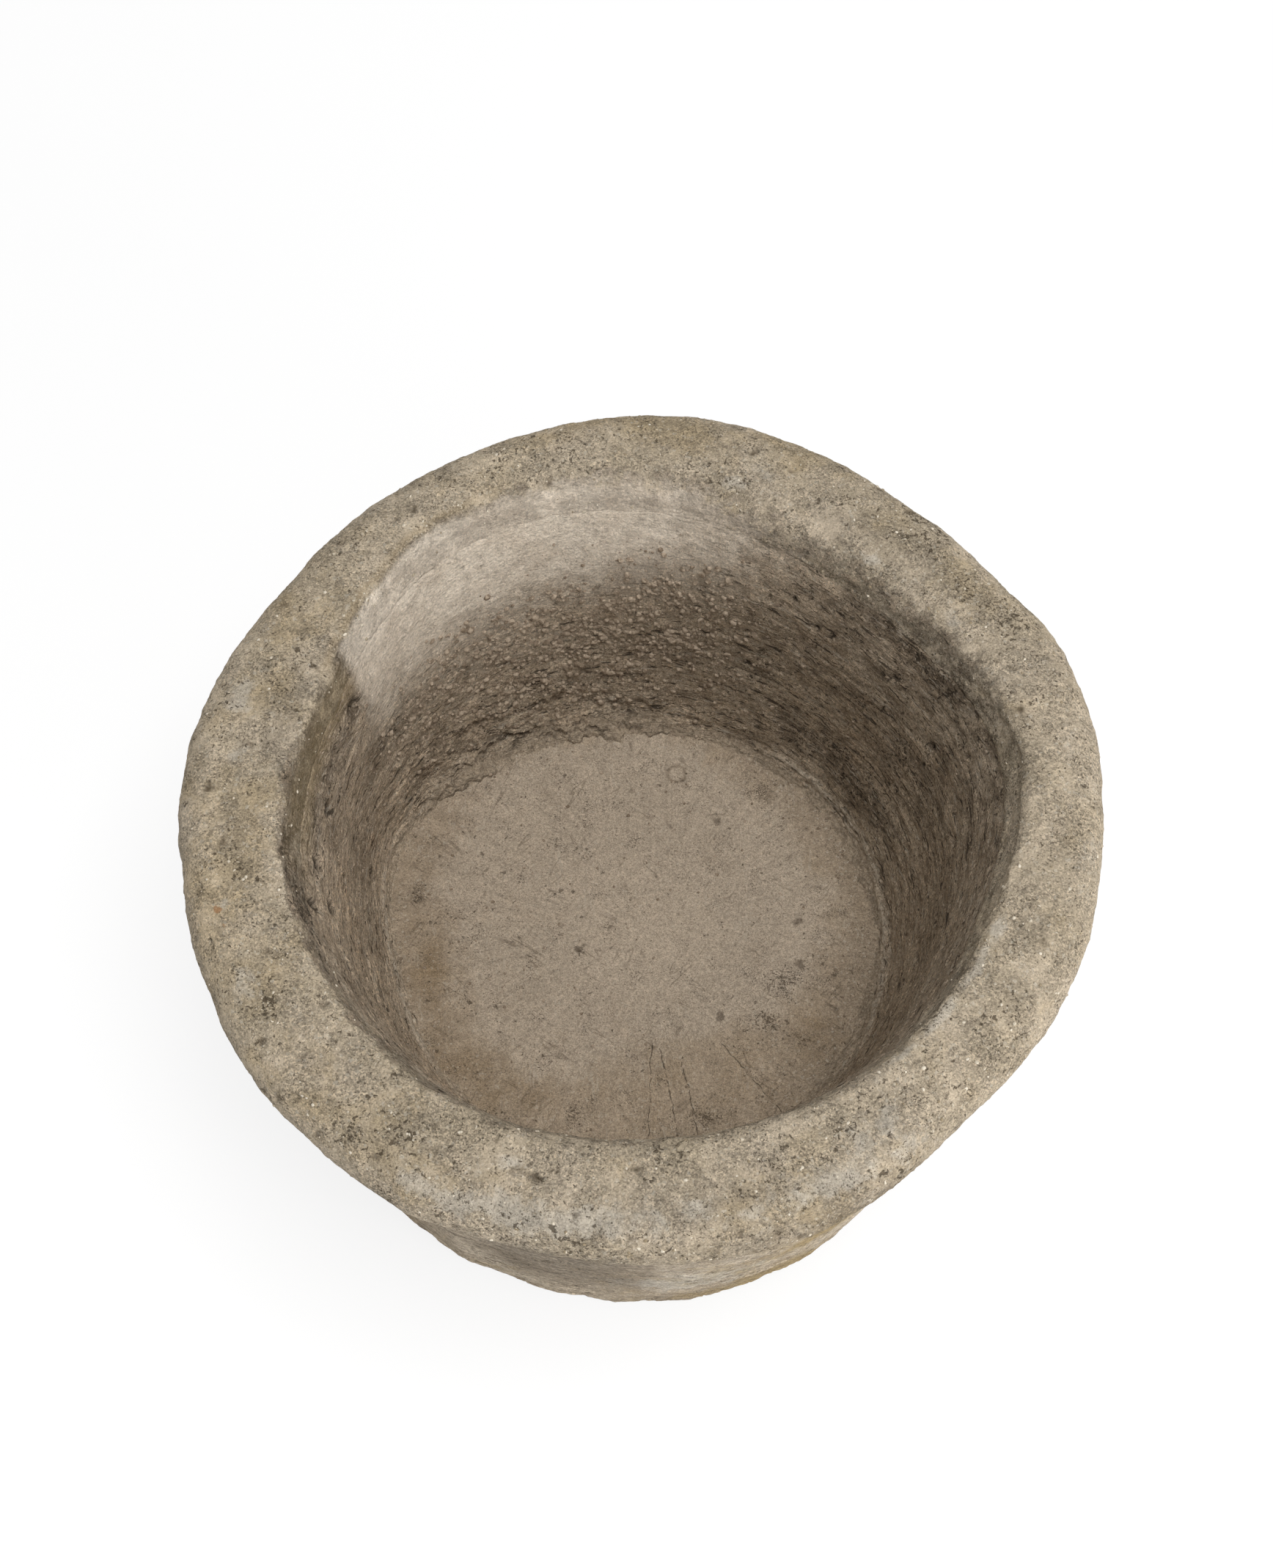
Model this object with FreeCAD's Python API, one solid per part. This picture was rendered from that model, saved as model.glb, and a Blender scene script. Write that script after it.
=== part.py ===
"""Round stone planter: a heavy bowl built up by hand in courses and coats.

Five pieces: the floor slab, the wall ring built round it, the thick rim collar bedded on the wall head,
the coat on the inside of the wall and the screed on the floor. Millimetres, +Z up. The origin is on the
ground under the middle of the rim, and the front of the planter faces -Y.
"""
import FreeCAD, Part
import math
import os

# Whole vessel
HEIGHT = 315            # ground to rim top
RIM_RADIUS = 301        # mean, outside the rim
RIM_WIDTH = 65          # mean, from the outside of the rim in to the mouth
WALL_BATTER = 37        # the wall stands in from the rim by this much at the ground
FLOOR_DEPTH = 246       # rim top down to the finished floor
HOLLOW_BATTER = 51      # the hollow is this much narrower all round at the floor than at the mouth
HOLLOW_SWAY = 4         # the inside stands out from a straight line low down, and in higher up

# How far each hand-formed outline swells out from its mean radius at the twelve clock hours.
# The hours start near the right-hand side (+X) and go round by the back (+Y).
FIRST_HOUR = 10         # degrees round from +X
RIM_SWELL = (6, -1, 3, 3, -6, -2, 1, 2, 3, 5, -7, 1)
MOUTH_SWELL = (15, -8, -6, 6, 4, -13, -3, 2, 5, 1, 4, 5)
FLOOR_SWELL = (-3, -7, -12, -7, 4, 14, 0, 2, 2, 2, 2, 1)

# Rim collar: the thick last course, which overhangs the wall in a ledge
COLLAR_HEIGHT = 42      # outer face
LEDGE_DEPTH = 11        # mean overhang
LEDGE_SWING = 7         # how much more the ledge hangs out on its deep side
LEDGE_SIDE = 200        # degrees round from +X to that deep side
FACE_LEAN = 0.5         # share of the ledge that the outer face leans in by on its way down
SHOULDER_ROUND = 26     # worn outer edge of the rim
LEDGE_ROUND = 9         # lower outer edge of the collar
LIP_ROUND = 9           # inner edge of the rim

# Rebate: the collar hangs down over an upstand on the inner half of the wall head
LAP_HEIGHT = 14
LAP_DRAFT = 3           # the upstand is this much slimmer at its top

# Coats on the inside, and the slab that carries them
RENDER_THICKNESS = 26   # mean; the wall face is round, and the coat gives the hollow its shape
SCREED_THICKNESS = 14
SLAB_TUCK = 12          # reach of the slab under the wall, past the coat
SLAB_DRAFT = 10         # the slab is this much narrower at the ground than on top
FOOT_ROUND = 10         # outer edge of the wall at the ground

# How finely the hand-laid forms are stepped
COURSE = 85             # most that the outside of the wall rises in one straight course
LIFT = 32               # most that the coat inside rises in one straight lift
ROUND_STEPS = 3         # flats round a worn edge

# Radii and heights that follow
BASE_RADIUS = RIM_RADIUS - WALL_BATTER
MOUTH_RADIUS = RIM_RADIUS - RIM_WIDTH
FLOOR_RADIUS = MOUTH_RADIUS - HOLLOW_BATTER
HEAD = HEIGHT - COLLAR_HEIGHT
LAP_TOP = HEAD + LAP_HEIGHT
FLOOR_TOP = HEIGHT - FLOOR_DEPTH
SLAB_TOP = FLOOR_TOP - SCREED_THICKNESS

HOURS = len(RIM_SWELL)
LITRE = 1e6             # cubic millimetres


def hour_angle(hour):
    """Angle of a clock hour round from +X."""
    return math.radians(FIRST_HOUR) + 2 * math.pi * hour / HOURS


def swollen(radius, swell):
    """Radius at each clock hour."""
    return [radius + out for out in swell]


def grown(radii, by):
    """The same outline, moved out all round."""
    return [radius + by for radius in radii]


def between(low_radii, high_radii, share):
    """Outline part of the way from one outline to another."""
    return [low + (high - low) * share for low, high in zip(low_radii, high_radii)]


def levels(low, high, most):
    """Heights from low to high in equal steps, none of them higher than the most allowed."""
    count = math.ceil((high - low) / most)
    return [low + (high - low) * step / count for step in range(count + 1)]


def quarter_round(radius):
    """Points round a worn edge, from upright to level: how far in, and how far up."""
    turns = [math.pi / 2 * step / ROUND_STEPS for step in range(ROUND_STEPS + 1)]
    return [(radius * (1 - math.cos(turn)), radius * math.sin(turn)) for turn in turns]


def outline(radii, height):
    """Smooth closed curve through the radius at each clock hour."""
    points = []
    for hour, radius in enumerate(radii):
        angle = hour_angle(hour)
        points.append(FreeCAD.Vector(radius * math.cos(angle), radius * math.sin(angle), height))
    curve = Part.BSplineCurve()
    curve.interpolate(Points=points, PeriodicFlag=True, Parameters=list(range(HOURS + 1)))
    return Part.Wire(curve.toShape())


def laid_up(rings):
    """Solid with straight sides from one level outline to the next, lowest first."""
    return Part.makeLoft([outline(radii, height) for radii, height in rings], True, True)


def rim_radii():
    """Outside of the rim collar between its worn edges."""
    return swollen(RIM_RADIUS, RIM_SWELL)


def wall_radii(height):
    """Outside of the wall, from the foot up to the head, where it is set back by the ledge."""
    side = math.radians(LEDGE_SIDE)
    head = []
    for hour, radius in enumerate(rim_radii()):
        ledge = LEDGE_DEPTH + LEDGE_SWING * math.cos(hour_angle(hour) - side)
        head.append(radius - ledge)
    return between(swollen(BASE_RADIUS, RIM_SWELL), head, height / HEAD)


def hollow_radii(height):
    """Inside of the bowl at a height, from the floor outline up to the mouth outline."""
    share = (height - FLOOR_TOP) / FLOOR_DEPTH
    straight = between(swollen(FLOOR_RADIUS, FLOOR_SWELL), swollen(MOUTH_RADIUS, MOUTH_SWELL), share)
    return grown(straight, HOLLOW_SWAY * math.sin(2 * math.pi * share))


def wall_face_radius(height):
    """Round inside of the wall, which the coat covers."""
    return sum(hollow_radii(height)) / HOURS + RENDER_THICKNESS


def wall_face():
    """The space inside the bare wall, from the slab up to the top of the upstand."""
    low = wall_face_radius(SLAB_TOP)
    high = wall_face_radius(LAP_TOP)
    return Part.makeCone(low, high, LAP_TOP - SLAB_TOP, FreeCAD.Vector(0, 0, SLAB_TOP))


def hollow():
    """The space inside the coat, from the slab up to the collar."""
    heights = [SLAB_TOP] + levels(FLOOR_TOP, LAP_TOP, LIFT)
    return laid_up([(hollow_radii(height), height) for height in heights])


def mouth():
    """The space inside the collar, widening at the worn lip."""
    rings = [(hollow_radii(LAP_TOP), LAP_TOP)]
    for inset, rise in quarter_round(LIP_ROUND):
        height = HEIGHT - LIP_ROUND + rise
        rings.append((grown(hollow_radii(height), inset), height))
    return laid_up(rings)


def upstand():
    """Round block that rises from the middle of the wall head, before the bowl is hollowed out of it."""
    outer = sum(wall_radii(HEAD)) / HOURS
    middle = (wall_face_radius(HEAD) + outer) / 2
    return Part.makeCone(middle, middle - LAP_DRAFT, LAP_HEIGHT, FreeCAD.Vector(0, 0, HEAD))


def floor_slab():
    """Round slab on the ground, wider on top so that it can't drop out of the wall ring."""
    top = wall_face_radius(SLAB_TOP) + SLAB_TUCK
    return Part.makeCone(top - SLAB_DRAFT, top, SLAB_TOP)


def wall_ring():
    """Tapered wall that stands on the ground and on the slab's edge, with the upstand on its head."""
    rings = []
    for inset, rise in reversed(quarter_round(FOOT_ROUND)):
        height = FOOT_ROUND - rise
        rings.append((grown(wall_radii(height), -inset), height))
    for height in levels(FOOT_ROUND, HEAD, COURSE)[1:]:
        rings.append((wall_radii(height), height))
    body = laid_up(rings).fuse(upstand())
    return body.cut(wall_face()).cut(floor_slab())


def rim_collar():
    """Thick rim course with worn edges, rebated underneath for the upstand and the coat."""
    rings = []
    face_foot = between(rim_radii(), wall_radii(HEAD), FACE_LEAN)
    for inset, rise in reversed(quarter_round(LEDGE_ROUND)):
        rings.append((grown(face_foot, -inset), HEAD + LEDGE_ROUND - rise))
    for inset, rise in quarter_round(SHOULDER_ROUND):
        rings.append((grown(rim_radii(), -inset), HEIGHT - SHOULDER_ROUND + rise))
    return laid_up(rings).cut(upstand()).cut(mouth())


def wall_render():
    """Coat on the inside of the wall, from the slab up to the collar."""
    return wall_face().cut(hollow())


def floor_screed():
    """Finished floor, laid on the slab inside the coat."""
    return laid_up([(hollow_radii(height), height) for height in (SLAB_TOP, FLOOR_TOP)])


PIECES = {
    "floor_slab": floor_slab,
    "wall_ring": wall_ring,
    "rim_collar": rim_collar,
    "wall_render": wall_render,
    "floor_screed": floor_screed,
}

os.makedirs("parts", exist_ok=True)
for name, make in PIECES.items():
    piece = make()
    solid = piece.Solids[0]
    print(f"{name}: {len(piece.Solids)} solid, valid {solid.isValid()}, {solid.Volume / LITRE:.3f} litres")
    solid.exportStep("parts/" + name + ".step")
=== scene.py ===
"""Looks of the round stone planter: worn rim, dragged coat, floated floor and streaked outer wall."""
import math

import bpy
import numpy as np
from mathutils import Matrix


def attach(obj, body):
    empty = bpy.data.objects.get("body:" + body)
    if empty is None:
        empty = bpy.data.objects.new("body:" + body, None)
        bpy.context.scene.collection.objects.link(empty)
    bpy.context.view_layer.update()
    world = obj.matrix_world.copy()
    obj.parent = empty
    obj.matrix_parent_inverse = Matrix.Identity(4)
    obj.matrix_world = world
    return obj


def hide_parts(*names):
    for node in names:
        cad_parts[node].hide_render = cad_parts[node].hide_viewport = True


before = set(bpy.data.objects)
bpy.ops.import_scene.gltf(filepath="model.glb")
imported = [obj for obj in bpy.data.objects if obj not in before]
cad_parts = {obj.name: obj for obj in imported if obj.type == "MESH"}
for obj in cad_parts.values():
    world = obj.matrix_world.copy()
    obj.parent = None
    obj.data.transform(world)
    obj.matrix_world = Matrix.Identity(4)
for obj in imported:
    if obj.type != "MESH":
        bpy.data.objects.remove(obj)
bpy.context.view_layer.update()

# Sizes of the vessel in millimetres, the same as in the CAD source
HEIGHT, COLLAR_HEIGHT, FLOOR_DEPTH = 315, 42, 246
RIM_RADIUS, RIM_WIDTH, WALL_BATTER, HOLLOW_BATTER, HOLLOW_SWAY = 301, 65, 37, 51, 4
FIRST_HOUR = 10
RIM_SWELL = (6, -1, 3, 3, -6, -2, 1, 2, 3, 5, -7, 1)
MOUTH_SWELL = (15, -8, -6, 6, 4, -13, -3, 2, 5, 1, 4, 5)
FLOOR_SWELL = (-3, -7, -12, -7, 4, 14, 0, 2, 2, 2, 2, 1)
LEDGE_DEPTH, LEDGE_SWING, LEDGE_SIDE, FACE_LEAN = 11, 7, 200, 0.5
SHOULDER_ROUND, LEDGE_ROUND, LAP_HEIGHT = 26, 9, 14
RENDER_THICKNESS, SCREED_THICKNESS, SLAB_TUCK, SLAB_DRAFT, FOOT_ROUND = 26, 14, 12, 10, 10
MOUTH_RADIUS = RIM_RADIUS - RIM_WIDTH
FLOOR_RADIUS = MOUTH_RADIUS - HOLLOW_BATTER
HEAD = HEIGHT - COLLAR_HEIGHT
LAP_TOP = HEAD + LAP_HEIGHT
FLOOR_TOP = HEIGHT - FLOOR_DEPTH
SLAB_TOP = FLOOR_TOP - SCREED_THICKNESS
HOURS = len(RIM_SWELL)
HOUR_ANGLES = np.radians(FIRST_HOUR) + 2 * np.pi * np.arange(HOURS) / HOURS

MM = 0.001              # metres
PER_METRE = 1000.0      # millimetres
QUARTER = np.pi / 2
TIP = 0.004             # a drum's end rings are drawn in to this share of its radius

# Knocks and swellings of the rim's outside between the hours: degrees round, millimetres out
RIM_KNOCKS = ((0, -3), (8, 0), (20, 4), (26, 3), (31, -2.5), (43, -3), (52, -4), (70, 0), (82, 2),
              (104, -1.5), (130, 2.5), (146, -3), (156, -2.5), (163, 0), (172, 2.5), (183, 1.5), (189, -2),
              (196, 0), (206, 0), (217, 2.5), (227, 2), (236, 2), (243, 4), (254, -1.5), (270, -2),
              (285, 1.5), (297, 2.5), (305, 0.8), (312, 0.5), (326, 2), (333, 2), (341, -0.5), (347, -2.5))


# Outlines

def hour_curve(values, columns):
    """Smooth closed curve through one value at each clock hour, read at evenly spaced columns."""
    values = np.asarray(values, float)
    bands = 4 * np.eye(HOURS) + np.roll(np.eye(HOURS), 1, 0) + np.roll(np.eye(HOURS), -1, 0)
    bend = np.linalg.solve(bands, 6 * (np.roll(values, -1) - 2 * values + np.roll(values, 1)))
    spot = HOURS * np.arange(columns) / columns
    hour = spot.astype(int)
    after = (hour + 1) % HOURS
    far = spot - hour
    near = 1 - far
    straight = near * values[hour] + far * values[after]
    return straight + ((near ** 3 - near) * bend[hour] + (far ** 3 - far) * bend[after]) / 6


def outline(radii, columns):
    """Plan points of a hand-formed outline."""
    radii = np.broadcast_to(radii, (HOURS,))
    across = hour_curve(radii * np.cos(HOUR_ANGLES), columns)
    along = hour_curve(radii * np.sin(HOUR_ANGLES), columns)
    return np.stack((across, along), -1)


class Layup:
    """The vessel's outlines at a number of columns round it, and rows of points laid up on them."""

    def __init__(self, columns):
        self.columns = columns
        self.rows, self.wear = [], []
        self.out = outline(1, columns)
        self.rim = outline(RIM_RADIUS + np.array(RIM_SWELL), columns)
        self.mouth = outline(MOUTH_RADIUS + np.array(MOUTH_SWELL), columns)
        self.floor = outline(FLOOR_RADIUS + np.array(FLOOR_SWELL), columns)
        swing = LEDGE_SWING * np.cos(HOUR_ANGLES - np.radians(LEDGE_SIDE))
        self.ledge = outline(LEDGE_DEPTH + swing, columns)
        self.angle = np.degrees(np.arctan2(self.rim[:, 1], self.rim[:, 0])) % 360
        places, knocks = np.array(RIM_KNOCKS).T
        self.rim += self.outward(np.interp(self.angle, places, knocks, period=360))

    def outward(self, amount):
        """A move outwards, by one amount or by one for each column."""
        return np.reshape(amount, (-1, 1)) * self.out

    def hollow(self, height):
        """Inside of the bowl at a height, which may differ from column to column."""
        share = np.reshape((np.asarray(height, float) - FLOOR_TOP) / FLOOR_DEPTH, (-1, 1))
        sway = HOLLOW_SWAY * np.sin(2 * np.pi * share)
        return self.floor + (self.mouth - self.floor) * share + sway * self.out

    def wall(self, height):
        """Outside of the wall at a height."""
        base = self.rim - WALL_BATTER * self.out
        return base + (self.rim - self.ledge - base) * height / HEAD

    def add(self, plan, height, wear=1.0):
        """One more row of points from a plan and a height, and how far it is worn."""
        heights = np.broadcast_to(height, (self.columns,))
        self.rows.append(np.concatenate((plan, heights[:, None]), 1))
        self.wear.append(wear)

    def stacked(self):
        """The points of all rows, with the angle round the vessel and the wear at each of them."""
        points = np.stack(self.rows)
        wear = np.array(self.wear, float)[:, None]
        return points, np.broadcast_to(self.angle, points.shape[:2]), np.broadcast_to(wear, points.shape[:2])


def wall_face_radius(height):
    """Round inside of the bare wall, behind the coat."""
    share = (height - FLOOR_TOP) / FLOOR_DEPTH
    mean = FLOOR_RADIUS + np.mean(FLOOR_SWELL)
    mean += (MOUTH_RADIUS + np.mean(MOUTH_SWELL) - mean) * share + HOLLOW_SWAY * math.sin(2 * math.pi * share)
    return mean + RENDER_THICKNESS


# Hand marks

def turned(angle, centre):
    """Degrees from a place round the vessel, the short way."""
    return (angle - centre + 180) % 360 - 180


def eased(value, low, high):
    """0 below low, 1 above high, with a soft ramp between them."""
    share = np.clip((np.asarray(value, float) - low) / (high - low), 0, 1)
    return share * share * (3 - 2 * share)


def close_to(angle, centre, full, none):
    """1 up to so many degrees from a place round the vessel, 0 beyond so many."""
    return 1 - eased(np.abs(turned(angle, centre)), full, none)


def stripe(value, width):
    """1 where a value is 0, dying away on both sides."""
    return np.exp(-(value / width) ** 2)


def round_curve(angle, places):
    """Value at any angle, from (angle, value) places joined round the vessel."""
    angles, values = np.array(sorted(places), float).T
    return np.interp(angle, angles, values, period=360)


def ripple(angle, seed, turns=(5, 9, 14, 23, 37, 61), fall=0.75):
    """Uneven wave round the vessel, about -1 to 1."""
    rng = np.random.default_rng(seed)
    wave = np.zeros_like(angle, dtype=float)
    total = 0
    for step, turn in enumerate(turns):
        wave += fall ** step * np.sin(np.radians(angle) * turn + rng.uniform(0, 2 * np.pi))
        total += fall ** step
    return wave / total * 1.6


def spots(first, second, places, radius=None):
    """Soft spots on a surface: places are (first, second, first size, second size, strength).

    On a ring of some radius, the first measure is degrees round and the first size a length round.
    """
    mark = np.zeros(np.broadcast(first, second).shape)
    for at_first, at_second, first_size, second_size, strength in places:
        along = np.radians(turned(first, at_first)) * radius if radius else first - at_first
        away = (along / first_size) ** 2 + ((second - at_second) / second_size) ** 2
        mark = np.maximum(mark, strength * np.exp(-away))
    return mark


# Meshes

def placed(name, data):
    """New object in the scene."""
    thing = bpy.data.objects.new(name, data)
    bpy.context.scene.collection.objects.link(thing)
    return thing


def quads(rows, columns, tube):
    """Faces between rows of points: a tube whose last row meets its first, or a drum with filled ends."""
    row, column = np.meshgrid(np.arange(rows if tube else rows - 1), np.arange(columns), indexing="ij")
    above, below, beside = row * columns, (row + 1) % rows * columns, (column + 1) % columns
    corners = (above + column, above + beside, below + beside, below + column)
    faces = np.stack(corners, -1).reshape(-1, 4)
    if tube:
        return faces
    first = np.arange(columns // 2 - 1)
    strip = np.stack((first, first + 1, columns - 2 - first, columns - 1 - first), -1)
    return np.concatenate((faces, strip[:, ::-1], strip + (rows - 1) * columns))


def solid_mesh(name, points, marks, tube):
    """Closed mesh object from rows of points in millimetres, with a value on each point for every mark."""
    grid = points.shape[:2]
    faces = quads(*grid, tube)
    points = points.reshape(-1, 3) * MM
    corners = points[faces]
    fan = np.einsum("ij,ij->i", corners[:, 0], np.cross(corners[:, 1], corners[:, 2]))
    fan += np.einsum("ij,ij->i", corners[:, 0], np.cross(corners[:, 2], corners[:, -1]))
    if fan.sum() < 0:
        faces = faces[:, ::-1]
    mesh = bpy.data.meshes.new(name)
    mesh.from_pydata(points.tolist(), [], [])
    count, size = faces.shape
    mesh.loops.add(count * size)
    mesh.polygons.add(count)
    mesh.loops.foreach_set("vertex_index", np.ascontiguousarray(faces, np.int32).ravel())
    mesh.polygons.foreach_set("loop_start", np.arange(0, count * size, size, dtype=np.int32))
    mesh.update(calc_edges=True)
    for label, values in marks.items():
        layer = mesh.attributes.new(label, "FLOAT", "POINT")
        values = np.ascontiguousarray(np.broadcast_to(values, grid), np.float32)
        layer.data.foreach_set("value", values.ravel())
    mesh.shade_smooth()
    return placed(name, mesh)


# Node benches, for geometry and for materials

NUMBER, VECTOR, WHOLE, TEXT = "NodeSocketFloat", "NodeSocketVector", "NodeSocketInt", "NodeSocketString"
GEOMETRY, MATERIAL = "NodeSocketGeometry", "NodeSocketMaterial"


def operators(operation):
    """What a sum or a product does, with a value on its left and with one on its right."""
    def left(value, other):
        return value.bench.join(operation, value, other)

    def right(value, other):
        return value.bench.join(operation, other, value)

    return left, right


class Value:
    """An output in a node tree; a sum or a product of values puts a new node in the tree."""

    __add__, __radd__ = operators("ADD")
    __sub__, __rsub__ = operators("SUBTRACT")
    __mul__, __rmul__ = operators("MULTIPLY")
    __truediv__, __rtruediv__ = operators("DIVIDE")
    __pow__, __rpow__ = operators("POWER")

    def __init__(self, bench, socket):
        self.bench, self.socket = bench, socket

    def clipped(self):
        """The same sum or product, kept between 0 and 1."""
        self.socket.node.use_clamp = True
        return self


class Placed:
    """A node in a tree, whose outputs are read by name or number."""

    def __init__(self, bench, node):
        self.bench, self.node = bench, node

    def __getitem__(self, output):
        return Value(self.bench, self.node.outputs[output])


class Bench:
    """Places nodes in one tree and joins them."""

    def __init__(self, tree):
        self.tree = tree

    def put(self, kind, inputs=None, **settings):
        """A new node with its settings, and its sockets fed."""
        made = self.tree.nodes.new(kind)
        for key, value in settings.items():
            setattr(made, key, value)
        for key, value in (inputs or {}).items():
            self.feed(made.inputs[key], value)
        return Placed(self, made)

    def feed(self, socket, value):
        """Joins another node's output, or sets a plain value."""
        if isinstance(value, Value):
            self.tree.links.new(value.socket, socket)
        else:
            socket.default_value = value

    def join(self, operation, first, second):
        """Two numbers or two vectors joined by an operation, or a vector times a number."""
        if not is_vector(first):
            return self.calc(operation, first, second)
        if not is_vector(second):
            return self.put("ShaderNodeVectorMath", {"Vector": first, "Scale": second},
                            operation="SCALE")["Vector"]
        return self.vector(operation, first, second)

    def calc(self, operation, *values):
        return self.put("ShaderNodeMath", dict(enumerate(values)), operation=operation)[0]

    def most(self, *values):
        """Largest of several values."""
        largest = values[0]
        for value in values[1:]:
            largest = self.calc("MAXIMUM", largest, value)
        return largest

    def vector(self, operation, *values):
        made = self.put("ShaderNodeVectorMath", dict(enumerate(values)), operation=operation)
        return made["Value" if operation in ("LENGTH", "DISTANCE", "DOT_PRODUCT") else "Vector"]

    def triple(self, *values):
        """A vector from up to three numbers."""
        return self.put("ShaderNodeCombineXYZ", dict(enumerate(values)))[0]

    def parts(self, vector):
        """The three numbers of a vector."""
        return self.put("ShaderNodeSeparateXYZ", {0: vector})

    def fade(self, value, low, high):
        """0 at low, 1 at high, with a soft ramp between them."""
        return self.put("ShaderNodeMapRange", {"Value": value, "From Min": low, "From Max": high},
                        interpolation_type="SMOOTHSTEP")["Result"]

    def noise(self, vector, scale, detail=4.0, rough=0.55, twist=0.0):
        return self.put("ShaderNodeTexNoise", {"Vector": vector, "Scale": scale, "Detail": detail,
                                               "Roughness": rough, "Distortion": twist})[0]

    def stir(self, vector, scale, detail):
        """A vector that wanders by up to half either way."""
        made = self.put("ShaderNodeTexNoise", {"Vector": vector, "Scale": scale, "Detail": detail})
        return made["Color"] - (0.5, 0.5, 0.5)

    def cells(self, vector, scale):
        return self.put("ShaderNodeTexVoronoi", {"Vector": vector, "Scale": scale})

    def drawn_out(self, vector, level, upright):
        """A place scaled one way along the level and another upwards, so that a noise runs in level strokes."""
        return vector * self.triple(level, level, upright)

    def blend(self, share, first, second):
        """Two colours mixed by a share."""
        return self.put("ShaderNodeMix", {0: share, 6: first, 7: second}, data_type="RGBA")[2]

    def give(self, kind=NUMBER, **results):
        """Ends a tree with what it gives."""
        for label in results:
            self.tree.interface.new_socket(name=label, in_out="OUTPUT", socket_type=kind)
        self.put("NodeGroupOutput", results)
        return self.tree

    def give_mesh(self, geometry, material):
        """Ends a geometry tree with plain geometry in one material."""
        real = self.put("GeometryNodeRealizeInstances", {"Geometry": geometry})[0]
        dressed = self.put("GeometryNodeSetMaterial", {"Geometry": real, "Material": material})[0]
        return self.give(GEOMETRY, Geometry=dressed)


def is_vector(value):
    """Whether a value is a vector or a colour and not a number."""
    return isinstance(value, tuple) or isinstance(value, Value) and value.socket.type in ("VECTOR", "RGBA")


def new_tree(name, kind, inputs):
    """Bench with a new node tree, and what is given to it: inputs are (name, socket, default)."""
    tree = bpy.data.node_groups.new(name, kind)
    for label, socket, default in inputs:
        made = tree.interface.new_socket(name=label, in_out="INPUT", socket_type=socket)
        if default is not None:
            made.default_value = default
    bench = Bench(tree)
    return bench, bench.put("NodeGroupInput")


def spaced(settings):
    """Settings under their socket names, with spaces."""
    return {label.replace("_", " "): value for label, value in settings.items()}


def shader_group(name, **inputs):
    """Bench for a shader group that reads a place, numbers with their defaults and vectors with none."""
    sockets = [(label, VECTOR if default is None else NUMBER, default)
               for label, default in spaced(inputs).items()]
    return new_tree(name, "ShaderNodeTree", [("Vector", VECTOR, None)] + sockets)


# Geometry trees

TORN_STEPS, LAYER_STEPS = 9.0, 11.0     # layers in a torn coat, in its shape and in its bump


def weathering_tree():
    """Lumps, dents, pits, drags, torn layers and grain worked into a surface as far as its marks allow."""
    sizes = ("Lump Size", "Lump Depth", "Dent Size", "Dent Depth", "Pit Size", "Pit Share", "Pit Depth",
             "Drag Length", "Drag Width", "Drag Depth", "Layer Depth", "Grain Size", "Grain Depth", "Seed")
    inputs = [("Geometry", GEOMETRY, None), ("Material", MATERIAL, None)]
    inputs += [(label, NUMBER, 0.0) for label in sizes]
    bench, given = new_tree("weathered_surface", "GeometryNodeTree", inputs)

    def mark(label):
        return bench.put("GeometryNodeInputNamedAttribute", {"Name": label}, data_type="FLOAT")[0]

    def per(size):
        return 1.0 / bench.most(given[size], 0.0001)

    def swing(value, depth):
        """A 0 to 1 noise as a depth either way."""
        return (value - 0.5) * (given[depth] * 2.0)

    place = bench.put("GeometryNodeInputPosition")[0] + bench.triple(given["Seed"], given["Seed"] * 1.7)
    lump = swing(bench.noise(place, per("Lump Size"), 2.0), "Lump Depth")
    dent = swing(bench.noise(place, per("Dent Size"), 3.0, 0.6), "Dent Depth")

    stirred = bench.stir(place, per("Pit Size") * 1.3, 3.0) * (given["Pit Size"] * 1.2)
    cell = bench.cells(place + stirred, per("Pit Size"))
    chance = bench.parts(cell["Color"])
    chosen = bench.calc("LESS_THAN", chance[0], given["Pit Share"] * mark("pitted"))
    hole = (1.0 - cell["Distance"] / (chance[1] * 0.28 + 0.14)).clipped()
    hole = bench.fade(hole, 0.0, 0.6) * chosen

    strokes = bench.drawn_out(place, per("Drag Length"), per("Drag Width"))
    drag = swing(bench.noise(strokes, 1.0, 4.0, 0.65, 0.8), "Drag Depth") * mark("dragged")
    tears = bench.drawn_out(place, per("Drag Length") * 1.3, per("Drag Width") * 0.55)
    torn = bench.calc("FLOOR", bench.noise(tears, 1.0, 4.0, 0.6, 0.5) * TORN_STEPS) / TORN_STEPS
    layer = swing(torn, "Layer Depth") * mark("lapped")

    crumb = 0.5 - bench.cells(place, per("Grain Size") * 0.8)["Distance"]
    crumb = crumb * (given["Grain Depth"] * 3.0) * mark("crumbled")
    grain = swing(bench.noise(place, per("Grain Size"), 2.0, 0.6), "Grain Depth")

    fine = (drag + layer) + (crumb + grain)
    relief = (lump + dent + fine - hole * given["Pit Depth"]) * mark("wear")
    offset = bench.put("GeometryNodeInputNormal")[0] * relief
    moved = bench.put("GeometryNodeSetPosition", {"Geometry": given["Geometry"], "Offset": offset})[0]
    for label, value in (("pit", hole), ("fine_relief", (dent * 0.7 + fine) * PER_METRE)):
        moved = bench.put("GeometryNodeStoreNamedAttribute", {"Geometry": moved, "Name": label, "Value": value},
                          data_type="FLOAT", domain="POINT")[0]
    return bench.give_mesh(moved, given["Material"])


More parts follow.
